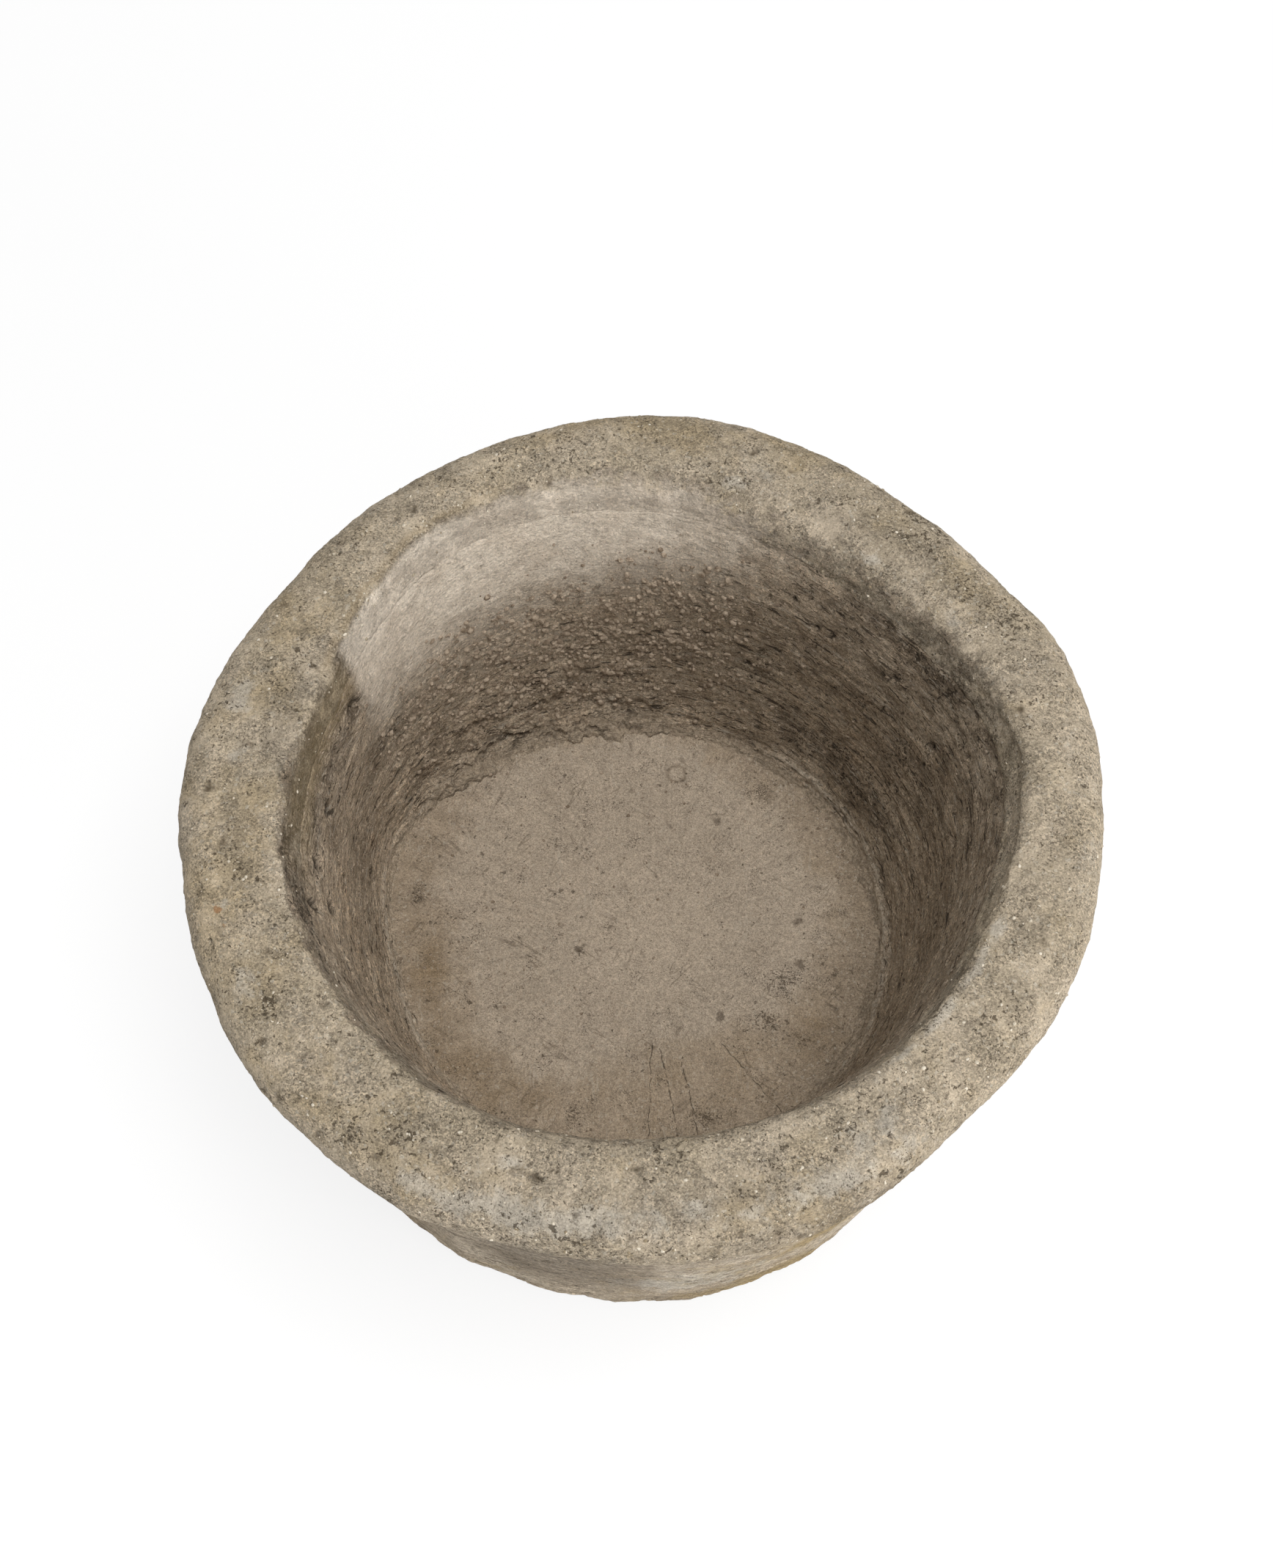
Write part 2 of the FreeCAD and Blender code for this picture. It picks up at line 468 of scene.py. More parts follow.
def grit_tree():
    """Loose grains and flakes that stand half out of a surface where its mark says so."""
    bench, given = new_tree("grit_grains", "GeometryNodeTree", [
        ("Geometry", GEOMETRY, None), ("Material", MATERIAL, None), ("Mark", TEXT, ""),
        ("Grains per m2", NUMBER, 0.0), ("Smallest", NUMBER, 0.001), ("Largest", NUMBER, 0.002),
        ("Flatness", NUMBER, 0.6), ("Length", NUMBER, 1.0), ("Seed", WHOLE, 1)])
    mark = bench.put("GeometryNodeInputNamedAttribute", {"Name": given["Mark"]}, data_type="FLOAT")[0]
    scatter = bench.put("GeometryNodeDistributePointsOnFaces", {
        "Mesh": given["Geometry"], "Density": mark * given["Grains per m2"], "Seed": given["Seed"]},
        distribute_method="RANDOM")
    grain = bench.put("GeometryNodeMeshIcoSphere", {"Radius": 1.0, "Subdivisions": 1})[0]

    def chance(low, high, step):
        """A number or a vector between two limits, drawn anew for each grain."""
        kind, least, most, drawn = ("FLOAT_VECTOR", 0, 1, 0) if is_vector(low) else ("FLOAT", 2, 3, 1)
        inputs = {least: low, most: high, "Seed": given["Seed"] + step}
        return bench.put("FunctionNodeRandomValue", inputs, data_type=kind)[drawn]

    shape = bench.triple(given["Length"], 1.0, given["Flatness"])
    uneven = chance((0.75, 0.7, 0.7), (1.25, 1.2, 1.3), 1.0)
    share = chance(0.0, 1.0, 2.0) ** 3.5
    size = share * (given["Largest"] - given["Smallest"]) + given["Smallest"]
    turn = bench.triple(chance(-0.35, 0.35, 3.0), chance(-0.35, 0.35, 4.0), chance(-0.5, 0.5, 5.0))
    tilt = bench.put("FunctionNodeRotateRotation", {
        "Rotation": scatter["Rotation"], "Rotate By": bench.put("FunctionNodeEulerToRotation", {0: turn})[0]},
        rotation_space="LOCAL")
    strewn = bench.put("GeometryNodeInstanceOnPoints", {
        "Points": scatter["Points"], "Instance": grain, "Rotation": tilt[0], "Scale": shape * uneven * size})
    return bench.give_mesh(strewn[0], given["Material"])


def work_over(piece, tree, settings):
    """Runs a geometry tree over a piece and leaves the result as its plain mesh."""
    worker = piece.modifiers.new(tree.name, "NODES")
    worker.node_group = tree
    for socket in tree.interface.items_tree:
        if socket.item_type == "SOCKET" and socket.in_out == "INPUT" and socket.name in settings:
            worker[socket.identifier] = settings[socket.name]
    graph = bpy.context.evaluated_depsgraph_get()
    mesh = bpy.data.meshes.new_from_object(piece.evaluated_get(graph))
    piece.modifiers.clear()
    piece.data = mesh
    mesh.name = piece.name
    return piece


# Shader groups that the finishes share

def grain_group():
    """Grit in a stone-like mix: grain by grain tone, dark and pale specks, and their height."""
    bench, given = shader_group("grit_grain", Size_mm=2.0)
    place, per = given["Vector"], PER_METRE / given["Size mm"]
    cell = bench.cells(place, per)
    tone = bench.parts(cell["Color"])
    soft = bench.noise(place, per * 0.5, 6.0, 0.7)
    sharp = bench.noise(place, per * 1.1, 3.0, 0.6)
    return bench.give(Tone=tone[0] * 0.55 + soft * 0.45,
                      Dark=bench.fade(tone[1] * 0.12 + sharp, 0.64, 0.74),
                      Pale=bench.fade(tone[2], 0.86, 0.95) * bench.fade(soft, 0.42, 0.6),
                      Height=(1.0 - cell["Distance"]) * 0.4 + soft * 1.2)


def pock_group():
    """Ragged holes that gather in clusters and single pin holes, more of them where a mark asks for them."""
    bench, given = shader_group("clustered_pocks", Size_mm=4.0, Cluster_mm=30.0, Share=0.0, Mark=0.0)
    place, asked, per = given["Vector"], given["Mark"], PER_METRE / given["Size mm"]
    cluster = bench.noise(place, PER_METRE / given["Cluster mm"], 3.0, 0.6)
    hole = bench.noise(place, per, 3.0, 0.62, 0.4)
    drawn = hole + (cluster - 0.5) * 0.55 + (asked * 0.13 + given["Share"])
    stirred = bench.stir(place, per * 0.9, 2.0) * (given["Size mm"] * 0.0028)
    cell = bench.cells(place + stirred, per * 0.29)
    chance = bench.parts(cell["Color"])
    chosen = bench.calc("LESS_THAN", chance[0], asked * 0.45 + 0.34)
    reach = chance[1] ** 4.0 * 0.2 + 0.07
    return bench.give(Hole=bench.fade(drawn, 0.665, 0.725),
                      Pin=bench.fade(cell["Distance"], reach, reach * 0.6) * chosen)


def patch_group():
    """Cloudy patches with ragged edges, drawn together where a mark asks for them."""
    bench, given = shader_group("cloudy_patches", Size_mm=30.0, Mark=0.0, Cover=0.5, Edge=0.12)
    cloud = bench.noise(given["Vector"], PER_METRE / given["Size mm"], 8.0, 0.66, 0.3)
    limit = 1.0 - given["Cover"]
    mask = bench.fade(given["Mark"] * 0.4 + cloud, limit - given["Edge"], limit + given["Edge"])
    return bench.give(Mask=mask, Cloud=cloud)


def drag_group():
    """Level drag marks from the hand or the trowel: ridges, short slots where straw was, which the finishes
    paint dark as shadow, pale flakes.
    """
    bench, given = shader_group("level_drags", Length_mm=60.0, Width_mm=4.0)
    long, wide = PER_METRE / given["Length mm"], PER_METRE / given["Width mm"]

    def strokes(shorter, finer, *texture):
        return bench.noise(bench.drawn_out(given["Vector"], long * shorter, wide * finer), *texture)

    return bench.give(Ridge=strokes(1.0, 1.0, 1.0, 4.0, 0.58, 0.7),
                      Slot=bench.fade(strokes(2.6, 1.3, 1.0, 3.0, 0.55, 0.5), 0.62, 0.665),
                      Flake=bench.fade(strokes(2.4, 1.2, 1.37, 3.0, 0.55, 0.5), 0.62, 0.67))


def layer_group():
    """Torn layers of a hand-pressed coat: stepped height, and the line under each torn edge, for painted
    shadow.
    """
    bench, given = shader_group("torn_layers", Length_mm=40.0, Width_mm=12.0)
    tears = bench.drawn_out(given["Vector"], PER_METRE / given["Length mm"], PER_METRE / given["Width mm"])
    torn = bench.noise(tears, 1.0, 6.0, 0.62, 0.8) * LAYER_STEPS
    return bench.give(Height=bench.calc("FLOOR", torn) / LAYER_STEPS,
                      Edge=bench.fade(bench.calc("FRACT", torn), 0.72, 1.0))


def crack_group():
    """Thin wandering crack on a level floor from one point to another, in millimetres."""
    bench, given = shader_group("floor_crack", From=None, To=None, Width_mm=0.8)
    place = given["Vector"] * PER_METRE
    place = (place + bench.stir(place, 0.09, 4.0) * 7.0) * (1.0, 1.0, 0.0)
    whole = given["To"] - given["From"]
    part = bench.vector("DOT_PRODUCT", place - given["From"], whole)
    share = (part / bench.vector("DOT_PRODUCT", whole, whole)).clipped()
    away = bench.vector("DISTANCE", place, given["From"] + whole * share)
    broken = bench.fade(bench.noise(place, 0.12, 2.0), 0.36, 0.56)
    return bench.give(Line=(1.0 - away / given["Width mm"]).clipped() * broken)


def scratch_group():
    """Fine scratches that run about one way across a level floor."""
    bench, given = shader_group("fine_scratches", Angle=0.0, Length_mm=60.0, Spacing_mm=9.0)
    place = bench.put("ShaderNodeVectorRotate", {"Vector": given["Vector"], "Angle": given["Angle"]},
                      rotation_type="Z_AXIS")[0]
    scale = bench.triple(PER_METRE / given["Length mm"], PER_METRE / given["Spacing mm"])
    stroke = bench.noise(place * scale, 1.0, 2.0, 0.5, 0.6)
    some = bench.fade(bench.noise(place, 28.0, 2.0), 0.52, 0.62)
    return bench.give(Line=bench.fade(bench.calc("ABSOLUTE", stroke - 0.5), 0.016, 0.004) * some)


GROUPS = {"grain": grain_group(), "pocks": pock_group(), "patches": patch_group(), "drags": drag_group(),
          "layers": layer_group(), "crack": crack_group(), "scratches": scratch_group()}


# Finishes

def rgb(red, green, blue):
    """Screen colour 0 to 255 as the linear colour a shader takes."""
    linear = [(c / 255 / 12.92) if c <= 10 else ((c / 255 + 0.055) / 1.055) ** 2.4 for c in (red, green, blue)]
    return (*linear, 1.0)


def steadied(value, share):
    """A 0 to 1 value drawn to its middle where a share is low."""
    return (value - 0.5) * share + 0.5


class Finish:
    """One material: a Principled surface, the colour laid up for it so far, and a bench for what feeds it."""

    def __init__(self, name, specular=0.25):
        self.material = bpy.data.materials.new(name)
        self.material.use_nodes = True
        self.bench = Bench(self.material.node_tree)
        self.surface = self.material.node_tree.nodes["Principled BSDF"]
        self.surface.inputs["Specular IOR Level"].default_value = specular
        self.place = self.bench.put("ShaderNodeTexCoord")["Object"]
        self.colour = None

    def mark(self, label):
        return self.bench.put("ShaderNodeAttribute", attribute_name=label)["Fac"]

    def effect(self, group, **inputs):
        """One of the shared groups, with this finish's own values."""
        inputs = {"Vector": self.place, **spaced(inputs)}
        return self.bench.put("ShaderNodeGroup", inputs, node_tree=GROUPS[group])

    def grain(self, size):
        return self.effect("grain", Size_mm=size)

    def drags(self, length, width):
        return self.effect("drags", Length_mm=length, Width_mm=width)

    def patches(self, size, cover, edge, mark=0.0):
        """Cloudy patches, drawn together by a mark or by the name of one."""
        mark = self.mark(mark) if isinstance(mark, str) else mark
        return self.effect("patches", Size_mm=size, Cover=cover, Edge=edge, Mark=mark)

    def pocks(self, size, cluster, share, mark=None):
        """Holes and pin holes, more of them at the named mark."""
        return self.effect("pocks", Size_mm=size, Cluster_mm=cluster, Share=share,
                           Mark=self.mark(mark) if mark else 0.0)

    def ground(self, first, second, share):
        """Starts the colour, from two screen colours mixed by a share."""
        self.colour = self.bench.blend(share, rgb(*first), rgb(*second))

    def lay(self, shade, *shares):
        """Lays a screen colour, or a made one, over the colour so far by the product of some shares."""
        cover = shares[0]
        for share in shares[1:]:
            cover = cover * share
        self.colour = self.bench.blend(cover, self.colour, rgb(*shade) if isinstance(shade, tuple) else shade)

    def swing(self, value, size, middle=1.0):
        """Makes the colour lighter or darker by a 0 to 1 value that swings by a size about the middle."""
        self.colour = self.colour * (value * size + (middle - size / 2))

    def close(self, roughness, *bumps):
        """Feeds the surface; bumps are (height, distance, strength), each on top of the one before."""
        normal = None
        for height, distance, strength in bumps:
            inputs = {"Height": height, "Distance": distance, "Strength": strength}
            if normal is not None:
                inputs["Normal"] = normal
            normal = self.bench.put("ShaderNodeBump", inputs)[0]
        for label, value in (("Base Color", self.colour), ("Roughness", roughness), ("Normal", normal)):
            self.bench.feed(self.surface.inputs[label], value)
        return self.material


def rim_look(made, grain, fine):
    """Colour and height of the worn rim: pocked buff with ochre stain, grey mottling and lime bloom, with
    painted shade and painted light laid over it and painted shadow in its holes.
    """
    bench = made.bench
    pocks, specks = made.pocks(3.2, 30.0, 0.0, "grey"), made.pocks(1.6, 16.0, 0.03)
    flecks = made.pocks(1.9, 22.0, -0.04, "lime")["Pin"]
    holes = bench.most(pocks["Hole"], specks["Hole"], pocks["Pin"], specks["Pin"])
    rough = made.patches(24.0, 0.52, 0.12)["Mask"] * 0.6 + 0.4
    blotch = made.patches(17.0, 0.43, 0.09, "grey")
    lime = made.patches(15.0, 0.29, 0.11, "lime")["Mask"]
    made.ground((204, 188, 165), (192, 176, 151), made.patches(60.0, 0.5, 0.16)["Mask"])
    made.lay((177, 156, 119), made.patches(36.0, 0.33, 0.14, "ochre")["Mask"], 0.55)
    made.lay((140, 129, 110), blotch["Mask"], 0.34)
    # painted shade, less painted light, from the rim's tables, broken up by the cloud
    dull = made.mark("dull") * (blotch["Cloud"] * 1.6 + 0.2)
    # paler coat and painted light, with the rim's painted shade
    made.colour = made.colour * (made.mark("paler") * 0.2 + (1.0 - dull * 0.17))
    made.swing(steadied(grain["Tone"], rough), 0.8, 1.03)
    made.swing(steadied(fine["Tone"], rough), 1.5)
    made.lay((214, 205, 190), lime, fine["Tone"] * 0.8 + 0.25, 0.85)
    made.lay((170, 112, 58), made.patches(7.0, 0.2, 0.08, "rust")["Mask"], 0.6)
    made.lay((216, 206, 188), bench.most(grain["Pale"], flecks), 0.6)
    made.lay((96, 84, 66), grain["Dark"], 0.5)
    # painted shadow in the pocks and pin holes
    made.lay((74, 61, 43), holes, 0.78)
    # painted shadow in the pits of the shape
    made.lay((88, 74, 54), made.mark("pit"), bench.fade(blotch["Cloud"], 0.35, 0.6), 0.8)
    return made.colour, grain["Height"] * 0.5 + blotch["Cloud"] * 1.1 - holes, rough


def coat_look(made, grain, fine):
    """Colour and height of the coat inside: short drags, straw slots, crumbled grit, pale skim with painted
    light in its fade, dirt with painted shade, and painted shadow in slots, holes, pits, low spots and under
    torn edges.
    """
    bench = made.bench
    crumbled, lapped = made.mark("crumbled"), made.mark("lapped")
    skim = made.patches(11.0, 0.3, 0.24, "skim")["Mask"] * 0.5 + made.mark("skim") * 0.5
    bare = (1.0 - skim * 0.9).clipped()
    whole = (1.0 - crumbled * 0.8).clipped()
    even = bare * 0.6 + 0.4
    drags, thin = made.drags(56.0, 4.0), made.drags(30.0, 2.2)
    cloud = made.patches(48.0, 0.5, 0.2)["Mask"]
    lumps = made.patches(9.0, 0.5, 0.25)["Cloud"]
    pocks = made.pocks(2.8, 26.0, 0.0, "dirt")
    layers = made.effect("layers", Length_mm=44.0, Width_mm=13.0)
    cut = bench.most(drags["Slot"], thin["Slot"], pocks["Hole"], pocks["Pin"])
    made.ground((189, 171, 148), (169, 150, 127), cloud)
    # paler coat and painted light, lifting the shade on the lower left and back walls
    made.colour = made.colour * (made.mark("paler") * 0.4 + 1.0)
    made.swing(steadied(drags["Ridge"], whole), 1.0)
    made.swing(steadied(thin["Ridge"], whole), 0.7)
    made.swing(lumps, 0.8)
    # dirt, and painted shade under the lip, under the collar and in the gouges
    made.lay((88, 75, 59), made.patches(24.0, 0.28, 0.14, "dirt")["Mask"], 0.6)
    # pale skim, and painted light in its soft lower fade
    made.lay(bench.blend(cloud, rgb(234, 221, 203), rgb(217, 202, 183)), skim, 0.92)
    made.swing(steadied(grain["Tone"], even), 0.95, 1.01)
    made.swing(steadied(fine["Tone"], even), 1.1)
    made.lay((204, 192, 174), bench.most(drags["Flake"], thin["Flake"]), bare, 0.72)
    made.lay((196, 184, 165), grain["Pale"], 0.4)
    # painted shadow in the straw slots, pocks and pin holes
    made.lay((50, 41, 30), cut, bare, 0.85)
    # painted shadow in the gouged holes
    made.lay((40, 32, 24), made.mark("hole"), 0.85)
    # painted shadow in the pits of the shape
    made.lay((60, 50, 39), made.mark("pit"), bare, 0.6)
    # painted shadow under each torn edge of the layers
    made.lay((56, 46, 36), layers["Edge"], lapped, 0.5)
    # painted shadow under the torn laps at the coat's foot
    made.lay((60, 50, 38), made.mark("torn"), 0.55)
    # painted shade in the low spots of the relief
    made.lay((78, 66, 52), bench.fade(made.mark("fine_relief"), 0.2, -1.5), bare, 0.45)
    level = (drags["Ridge"] * 1.7 + thin["Ridge"] * 1.3 - cut * 0.9) * (bare * 0.95 + 0.05) * whole
    height = grain["Height"] * 0.45 + lumps * 0.8 + grain["Height"] * crumbled * 1.8
    return made.colour, level + (height + layers["Height"] * lapped * 3.0)


def under_lip(made, fine):
    """Olive stain along the inner edge of the rim."""
    olive = made.bench.blend(fine["Tone"], rgb(126, 108, 76), rgb(172, 152, 116))
    made.lay(olive, made.mark("under_lip"), 0.6)


def rim_finish():
    """Rim collar: worn stone on top, turning into the coat's look down its inner face."""
    made = Finish("rim_stone")
    bench = made.bench
    grain, fine = made.grain(2.0), made.grain(1.0)
    top, top_height, rough = rim_look(made, grain, fine)
    coat, coat_height = coat_look(made, grain, fine)
    inside = made.mark("inside")
    soft = made.patches(12.0, 0.48, 0.12, inside - 0.5)
    ragged = (bench.fade(inside, 0.02, 0.2) * soft["Mask"]).clipped()
    share = bench.most(ragged, bench.fade(inside, 0.75, 1.0))
    made.colour = bench.blend(share, top, coat)
    under_lip(made, fine)
    made.lay((150, 128, 92), made.mark("seam"), soft["Cloud"], 0.8)
    height = top_height * (1.0 - share) + coat_height * share
    return made.close(grain["Tone"] * 0.14 + 0.83, (height, 0.0026, 0.9), (fine["Height"] * rough, 0.0014, 0.9))


def coat_finish():
    """Coat inside the bowl."""
    made = Finish("inner_render", 0.2)
    bench = made.bench
    grain, fine = made.grain(2.0), made.grain(0.9)
    height = coat_look(made, grain, fine)[1]
    under_lip(made, fine)
    made.lay((206, 193, 174), made.mark("ridge"), bench.fade(grain["Tone"], 0.2, 0.6), 0.9)
    dust = bench.blend(fine["Tone"], rgb(138, 121, 99), rgb(190, 174, 153)) * (grain["Tone"] * 0.8 + 0.6)
    # paler coat and painted light on the dust as well
    dust = dust * (made.mark("paler") * 0.25 + 1.0)
    dusty = made.patches(9.0, 0.3, 0.14, "toe")["Mask"]
    made.lay(dust, dusty, (1.0 - made.mark("torn")).clipped(), 0.9)
    return made.close(grain["Tone"] * 0.12 + 0.86, (height, 0.0028, 1.0), (fine["Height"], 0.0012, 0.9))


def floor_finish():
    """Floated floor: pale middle, browner edge, fine pits, scratches and a few cracks."""
    made = Finish("floor_screed", 0.2)
    bench = made.bench
    grain, fine = made.grain(1.6), made.grain(0.7)
    pocks, specks = made.pocks(2.2, 30.0, -0.04, "pocked"), made.pocks(1.0, 16.0, 0.0, "pocked")
    flecks = made.pocks(1.7, 20.0, -0.05, "gritty")["Pin"]
    cloud = made.patches(70.0, 0.5, 0.2)
    lumps = made.patches(13.0, 0.5, 0.25)["Cloud"]
    gritty = made.mark("gritty")
    plan = made.place * (1.0, 1.0, 0.0)
    reach = bench.vector("LENGTH", plan)
    spokes = bench.vector("NORMALIZE", plan) * 22.0 + bench.triple(0.0, 0.0, reach * 16.0)
    strokes = (bench.noise(spokes, 1.0, 6.0, 0.7, 0.4) - 0.5) * bench.fade(reach, 0.02, 0.09) + 0.5
    dark_lines = bench.most(made.effect("scratches", Angle=0.6, Length_mm=80.0, Spacing_mm=14.0)["Line"],
                            made.effect("scratches", Angle=-0.9, Length_mm=70.0, Spacing_mm=17.0)["Line"])
    pale_lines = made.effect("scratches", Angle=1.5, Length_mm=60.0, Spacing_mm=12.0)["Line"]
    holes = bench.most(pocks["Hole"], specks["Hole"], pocks["Pin"] * 0.8, specks["Pin"], made.mark("pit") * 0.8)
    cracks = bench.most(0.0, *(made.effect("crack", From=(*start, 0.0), To=(*end, 0.0), Width_mm=width)["Line"]
                               for start, end, width in FLOOR_CRACKS))
    made.ground((175, 158, 137), (164, 147, 125), cloud["Mask"])
    made.lay((142, 122, 95), made.patches(50.0, 0.22, 0.2, "brown")["Mask"], 0.8)
    made.lay((187, 172, 153), made.patches(34.0, 0.3, 0.2, "pale")["Mask"], 0.75)
    made.swing(strokes, 0.55)
    made.swing(lumps, 0.3)
    made.swing(grain["Tone"], 0.38)
    made.swing(fine["Tone"], 0.95)
    made.lay((196, 184, 166), pale_lines, 0.4)
    made.lay((82, 69, 52), dark_lines, 0.4)
    made.lay((98, 84, 67), grain["Dark"], 0.4)
    made.lay((204, 192, 174), bench.most(grain["Pale"], flecks), gritty * 0.4 + 0.4)
    # painted shadow in the pocks, pin holes and pits
    made.lay((66, 54, 40), holes, 0.72)
    made.lay((110, 95, 76), made.mark("ring"), bench.fade(cloud["Cloud"], 0.3, 0.5), 0.6)
    made.lay((66, 54, 41), cracks, 0.7)
    height = strokes * 1.2 + grain["Height"] * 0.3 + lumps * 0.5 - holes * 0.9 - cracks * 0.9
    height = height + grain["Height"] * gritty * 0.6
    return made.close(grain["Tone"] * 0.12 + 0.86, (height, 0.0019, 0.8), (fine["Height"], 0.0010, 0.9))


def wall_finish():
    """Outer wall: level streaks, straw slots, ochre stain; painted shade under the ledge, and painted shadow in
    slots, pits and low spots.
    """
    made = Finish("wall_stone")
    bench = made.bench
    grain, fine = made.grain(2.0), made.grain(1.1)
    drags, thin = made.drags(60.0, 5.0), made.drags(24.0, 2.4)
    pocks = made.pocks(2.8, 34.0, 0.01)
    cut = bench.most(thin["Slot"], drags["Slot"], pocks["Hole"], pocks["Pin"], made.mark("pit"))
    streaked = bench.fade(thin["Ridge"], 0.7, 0.3) * 0.35 + 0.65
    made.ground((193, 179, 159), (170, 154, 132), made.patches(70.0, 0.5, 0.2)["Mask"])
    made.swing(drags["Ridge"], 1.0)
    made.lay((156, 134, 88), made.patches(40.0, 0.3, 0.16, "ochre")["Mask"], 0.75)
    made.lay((206, 200, 188), made.patches(24.0, 0.26, 0.12, "lime")["Mask"], 0.5)
    made.swing(grain["Tone"], 0.7)
    made.swing(fine["Tone"], 0.9)
    # painted shade on the wall under the ledge's overhang, broken by the streaks
    made.lay((70, 60, 46), made.mark("sheltered"), streaked, 0.95)
    made.lay((206, 194, 174), thin["Flake"], 0.3)
    # painted shadow in the straw slots, pocks and pits
    made.lay((76, 63, 47), cut, 0.45)
    # painted shade in the low spots of the relief
    made.lay((96, 83, 65), bench.fade(made.mark("fine_relief"), 0.2, -1.5), 0.4)
    height = drags["Ridge"] * 1.2 + thin["Ridge"] * 0.7 + grain["Height"] * 0.5 - cut * 0.8
    return made.close(grain["Tone"] * 0.14 + 0.83, (height, 0.0026, 0.95), (fine["Height"], 0.0011, 0.8))


def grit_finish(name, pale, dark):
    """Loose grains, each with its own tone."""
    made = Finish(name, 0.3)
    grain, fine = made.grain(3.0), made.grain(0.7)
    made.ground(dark, pale, made.bench.fade(grain["Tone"], 0.3, 0.7))
    made.swing(fine["Tone"], 0.4)
    return made.close(grain["Tone"] * 0.15 + 0.81, (fine["Height"], 0.0004, 0.5))


# Where the photographed bowl is stained, limed, broken or patched

# Some of these tables lay painted shade and painted light, as said at each
# Rim: degrees round, millimetres out from the mouth, length round, size across, strength
RIM_LIME = ((166, 48, 16, 10, 0.9), (175, 38, 9, 8, 0.7), (198, 40, 9, 7, 0.6), (210, 43, 14, 8, 0.7),
            (255, 44, 34, 9, 0.8), (266, 43, 26, 8, 0.7), (277, 42, 26, 8, 0.5), (283, 51, 20, 9, 0.6),
            (253, 19, 14, 7, 0.6), (336, 5, 14, 5, 0.9), (328, 4, 22, 4, 1.0), (320, 3, 22, 4, 1.0),
            (311, 2, 20, 4, 0.8), (47, 6, 14, 5, 0.7), (30, 7, 14, 6, 0.7), (70, 24, 12, 7, 0.6),
            (74, 10, 12, 6, 0.7), (303, 48, 26, 12, 0.5), (350, 50, 16, 10, 0.5), (5, 30, 10, 8, 0.5),
            (246, 52, 36, 9, 0.9), (260, 49, 60, 10, 0.9), (274, 47, 40, 9, 0.5), (293, 46, 44, 13, 0.8),
            (302, 30, 34, 14, 0.6))
RIM_OCHRE = ((195, 34, 190, 34, 0.55), (160, 38, 90, 34, 0.5), (222, 40, 120, 30, 0.55),
             (90, 50, 80, 26, 0.75), (70, 55, 60, 26, 0.5), (35, 38, 60, 24, 0.4), (290, 58, 60, 22, 0.45),
             (240, 44, 60, 20, 0.5), (296, 84, 70, 14, 1.0))
RIM_GREY = ((185, 32, 16, 7, 0.9), (190, 30, 20, 8, 0.9), (194, 27, 9, 7, 0.9), (214, 35, 12, 9, 0.9),
            (200, 9, 8, 6, 0.6), (224, 13, 10, 7, 0.7), (319, 45, 11, 8, 1.0), (262, 60, 30, 9, 0.8),
            (256, 54, 22, 8, 0.7), (300, 20, 30, 12, 0.45), (325, 25, 20, 12, 0.4), (20, 34, 26, 14, 0.5),
            (48, 50, 34, 12, 0.6), (120, 40, 60, 16, 0.35), (270, 70, 60, 10, 0.5), (236, 50, 30, 12, 0.5),
            (27, 33, 22, 13, 1.0), (35, 33, 20, 11, 0.9), (44, 39, 20, 11, 0.8), (336, 22, 14, 9, 0.8),
            (209, 17, 9, 7, 0.8), (207, 37, 9, 8, 0.8), (239, 31, 20, 9, 0.9), (297, 20, 8, 7, 1.0))
# Rim, the same order as above: painted shade at the front, on the outer face and at the back right lip; then
# painted light on the left shoulder and at the back
RIM_PAINTED_SHADE = ((277, 42, 60, 20, 1.1), (299, 60, 50, 18, 0.9), (296, 74, 80, 22, 2.0), (258, 80, 60, 10, 1.5),
            (32, -12, 90, 26, 1.3), (168, 12, 40, 14, 1.2), (162, 10, 30, 14, 1.0), (48, 18, 60, 24, 1.6),
            (8, -8, 60, 20, 1.2), (71, 16, 36, 18, 1.0), (78, 28, 60, 26, 0.6), (345, 10, 50, 20, 0.6),
            (331, 52, 30, 14, 0.6))
RIM_PAINTED_LIGHT = ((203, 54, 110, 22, 1.0), (232, 58, 50, 18, 0.8), (111, 30, 36, 20, 0.7),
              (40, 52, 90, 20, 0.6))
RIM_RUST = ((198.6, 44, 4, 4, 1.0), (201, 42, 4, 3, 0.9))
# Softness of the inner edge: degrees round, millimetres
LIP_SOFTNESS = ((0, 6), (15, 12), (30, 21), (60, 24), (95, 22), (130, 15), (154, 12), (160, 7), (186, 5),
                (205, 6), (240, 11), (275, 12), (310, 8), (340, 5))
# Width of the change from the coat's look to the rim's along the lip: degrees round, millimetres
LIP_BLUR = ((0, 9), (40, 12), (66, 30), (104, 30), (122, 14), (150, 8), (200, 9))
# How much of the coat's look runs up the collar's inner face: degrees round, share
COAT_SHARE = ((0, 0.0), (10, 0.15), (22, 0.45), (45, 0.5), (65, 0.6), (85, 1.0), (154, 1.0), (158, 0.3),
              (172, 0.7), (205, 0.8), (240, 0.4), (300, 0.3), (340, 0.1))
# Lower edge of the pale skim at the back left, whose wide soft fade is painted light going over into shade:
# degrees round, height
SKIM_LIGHT_EDGE = ((52, 300), (66, 274), (79, 240), (88, 218), (98, 213), (106, 205), (116, 199), (130, 205),
             (141, 210), (150, 220), (158, 236))
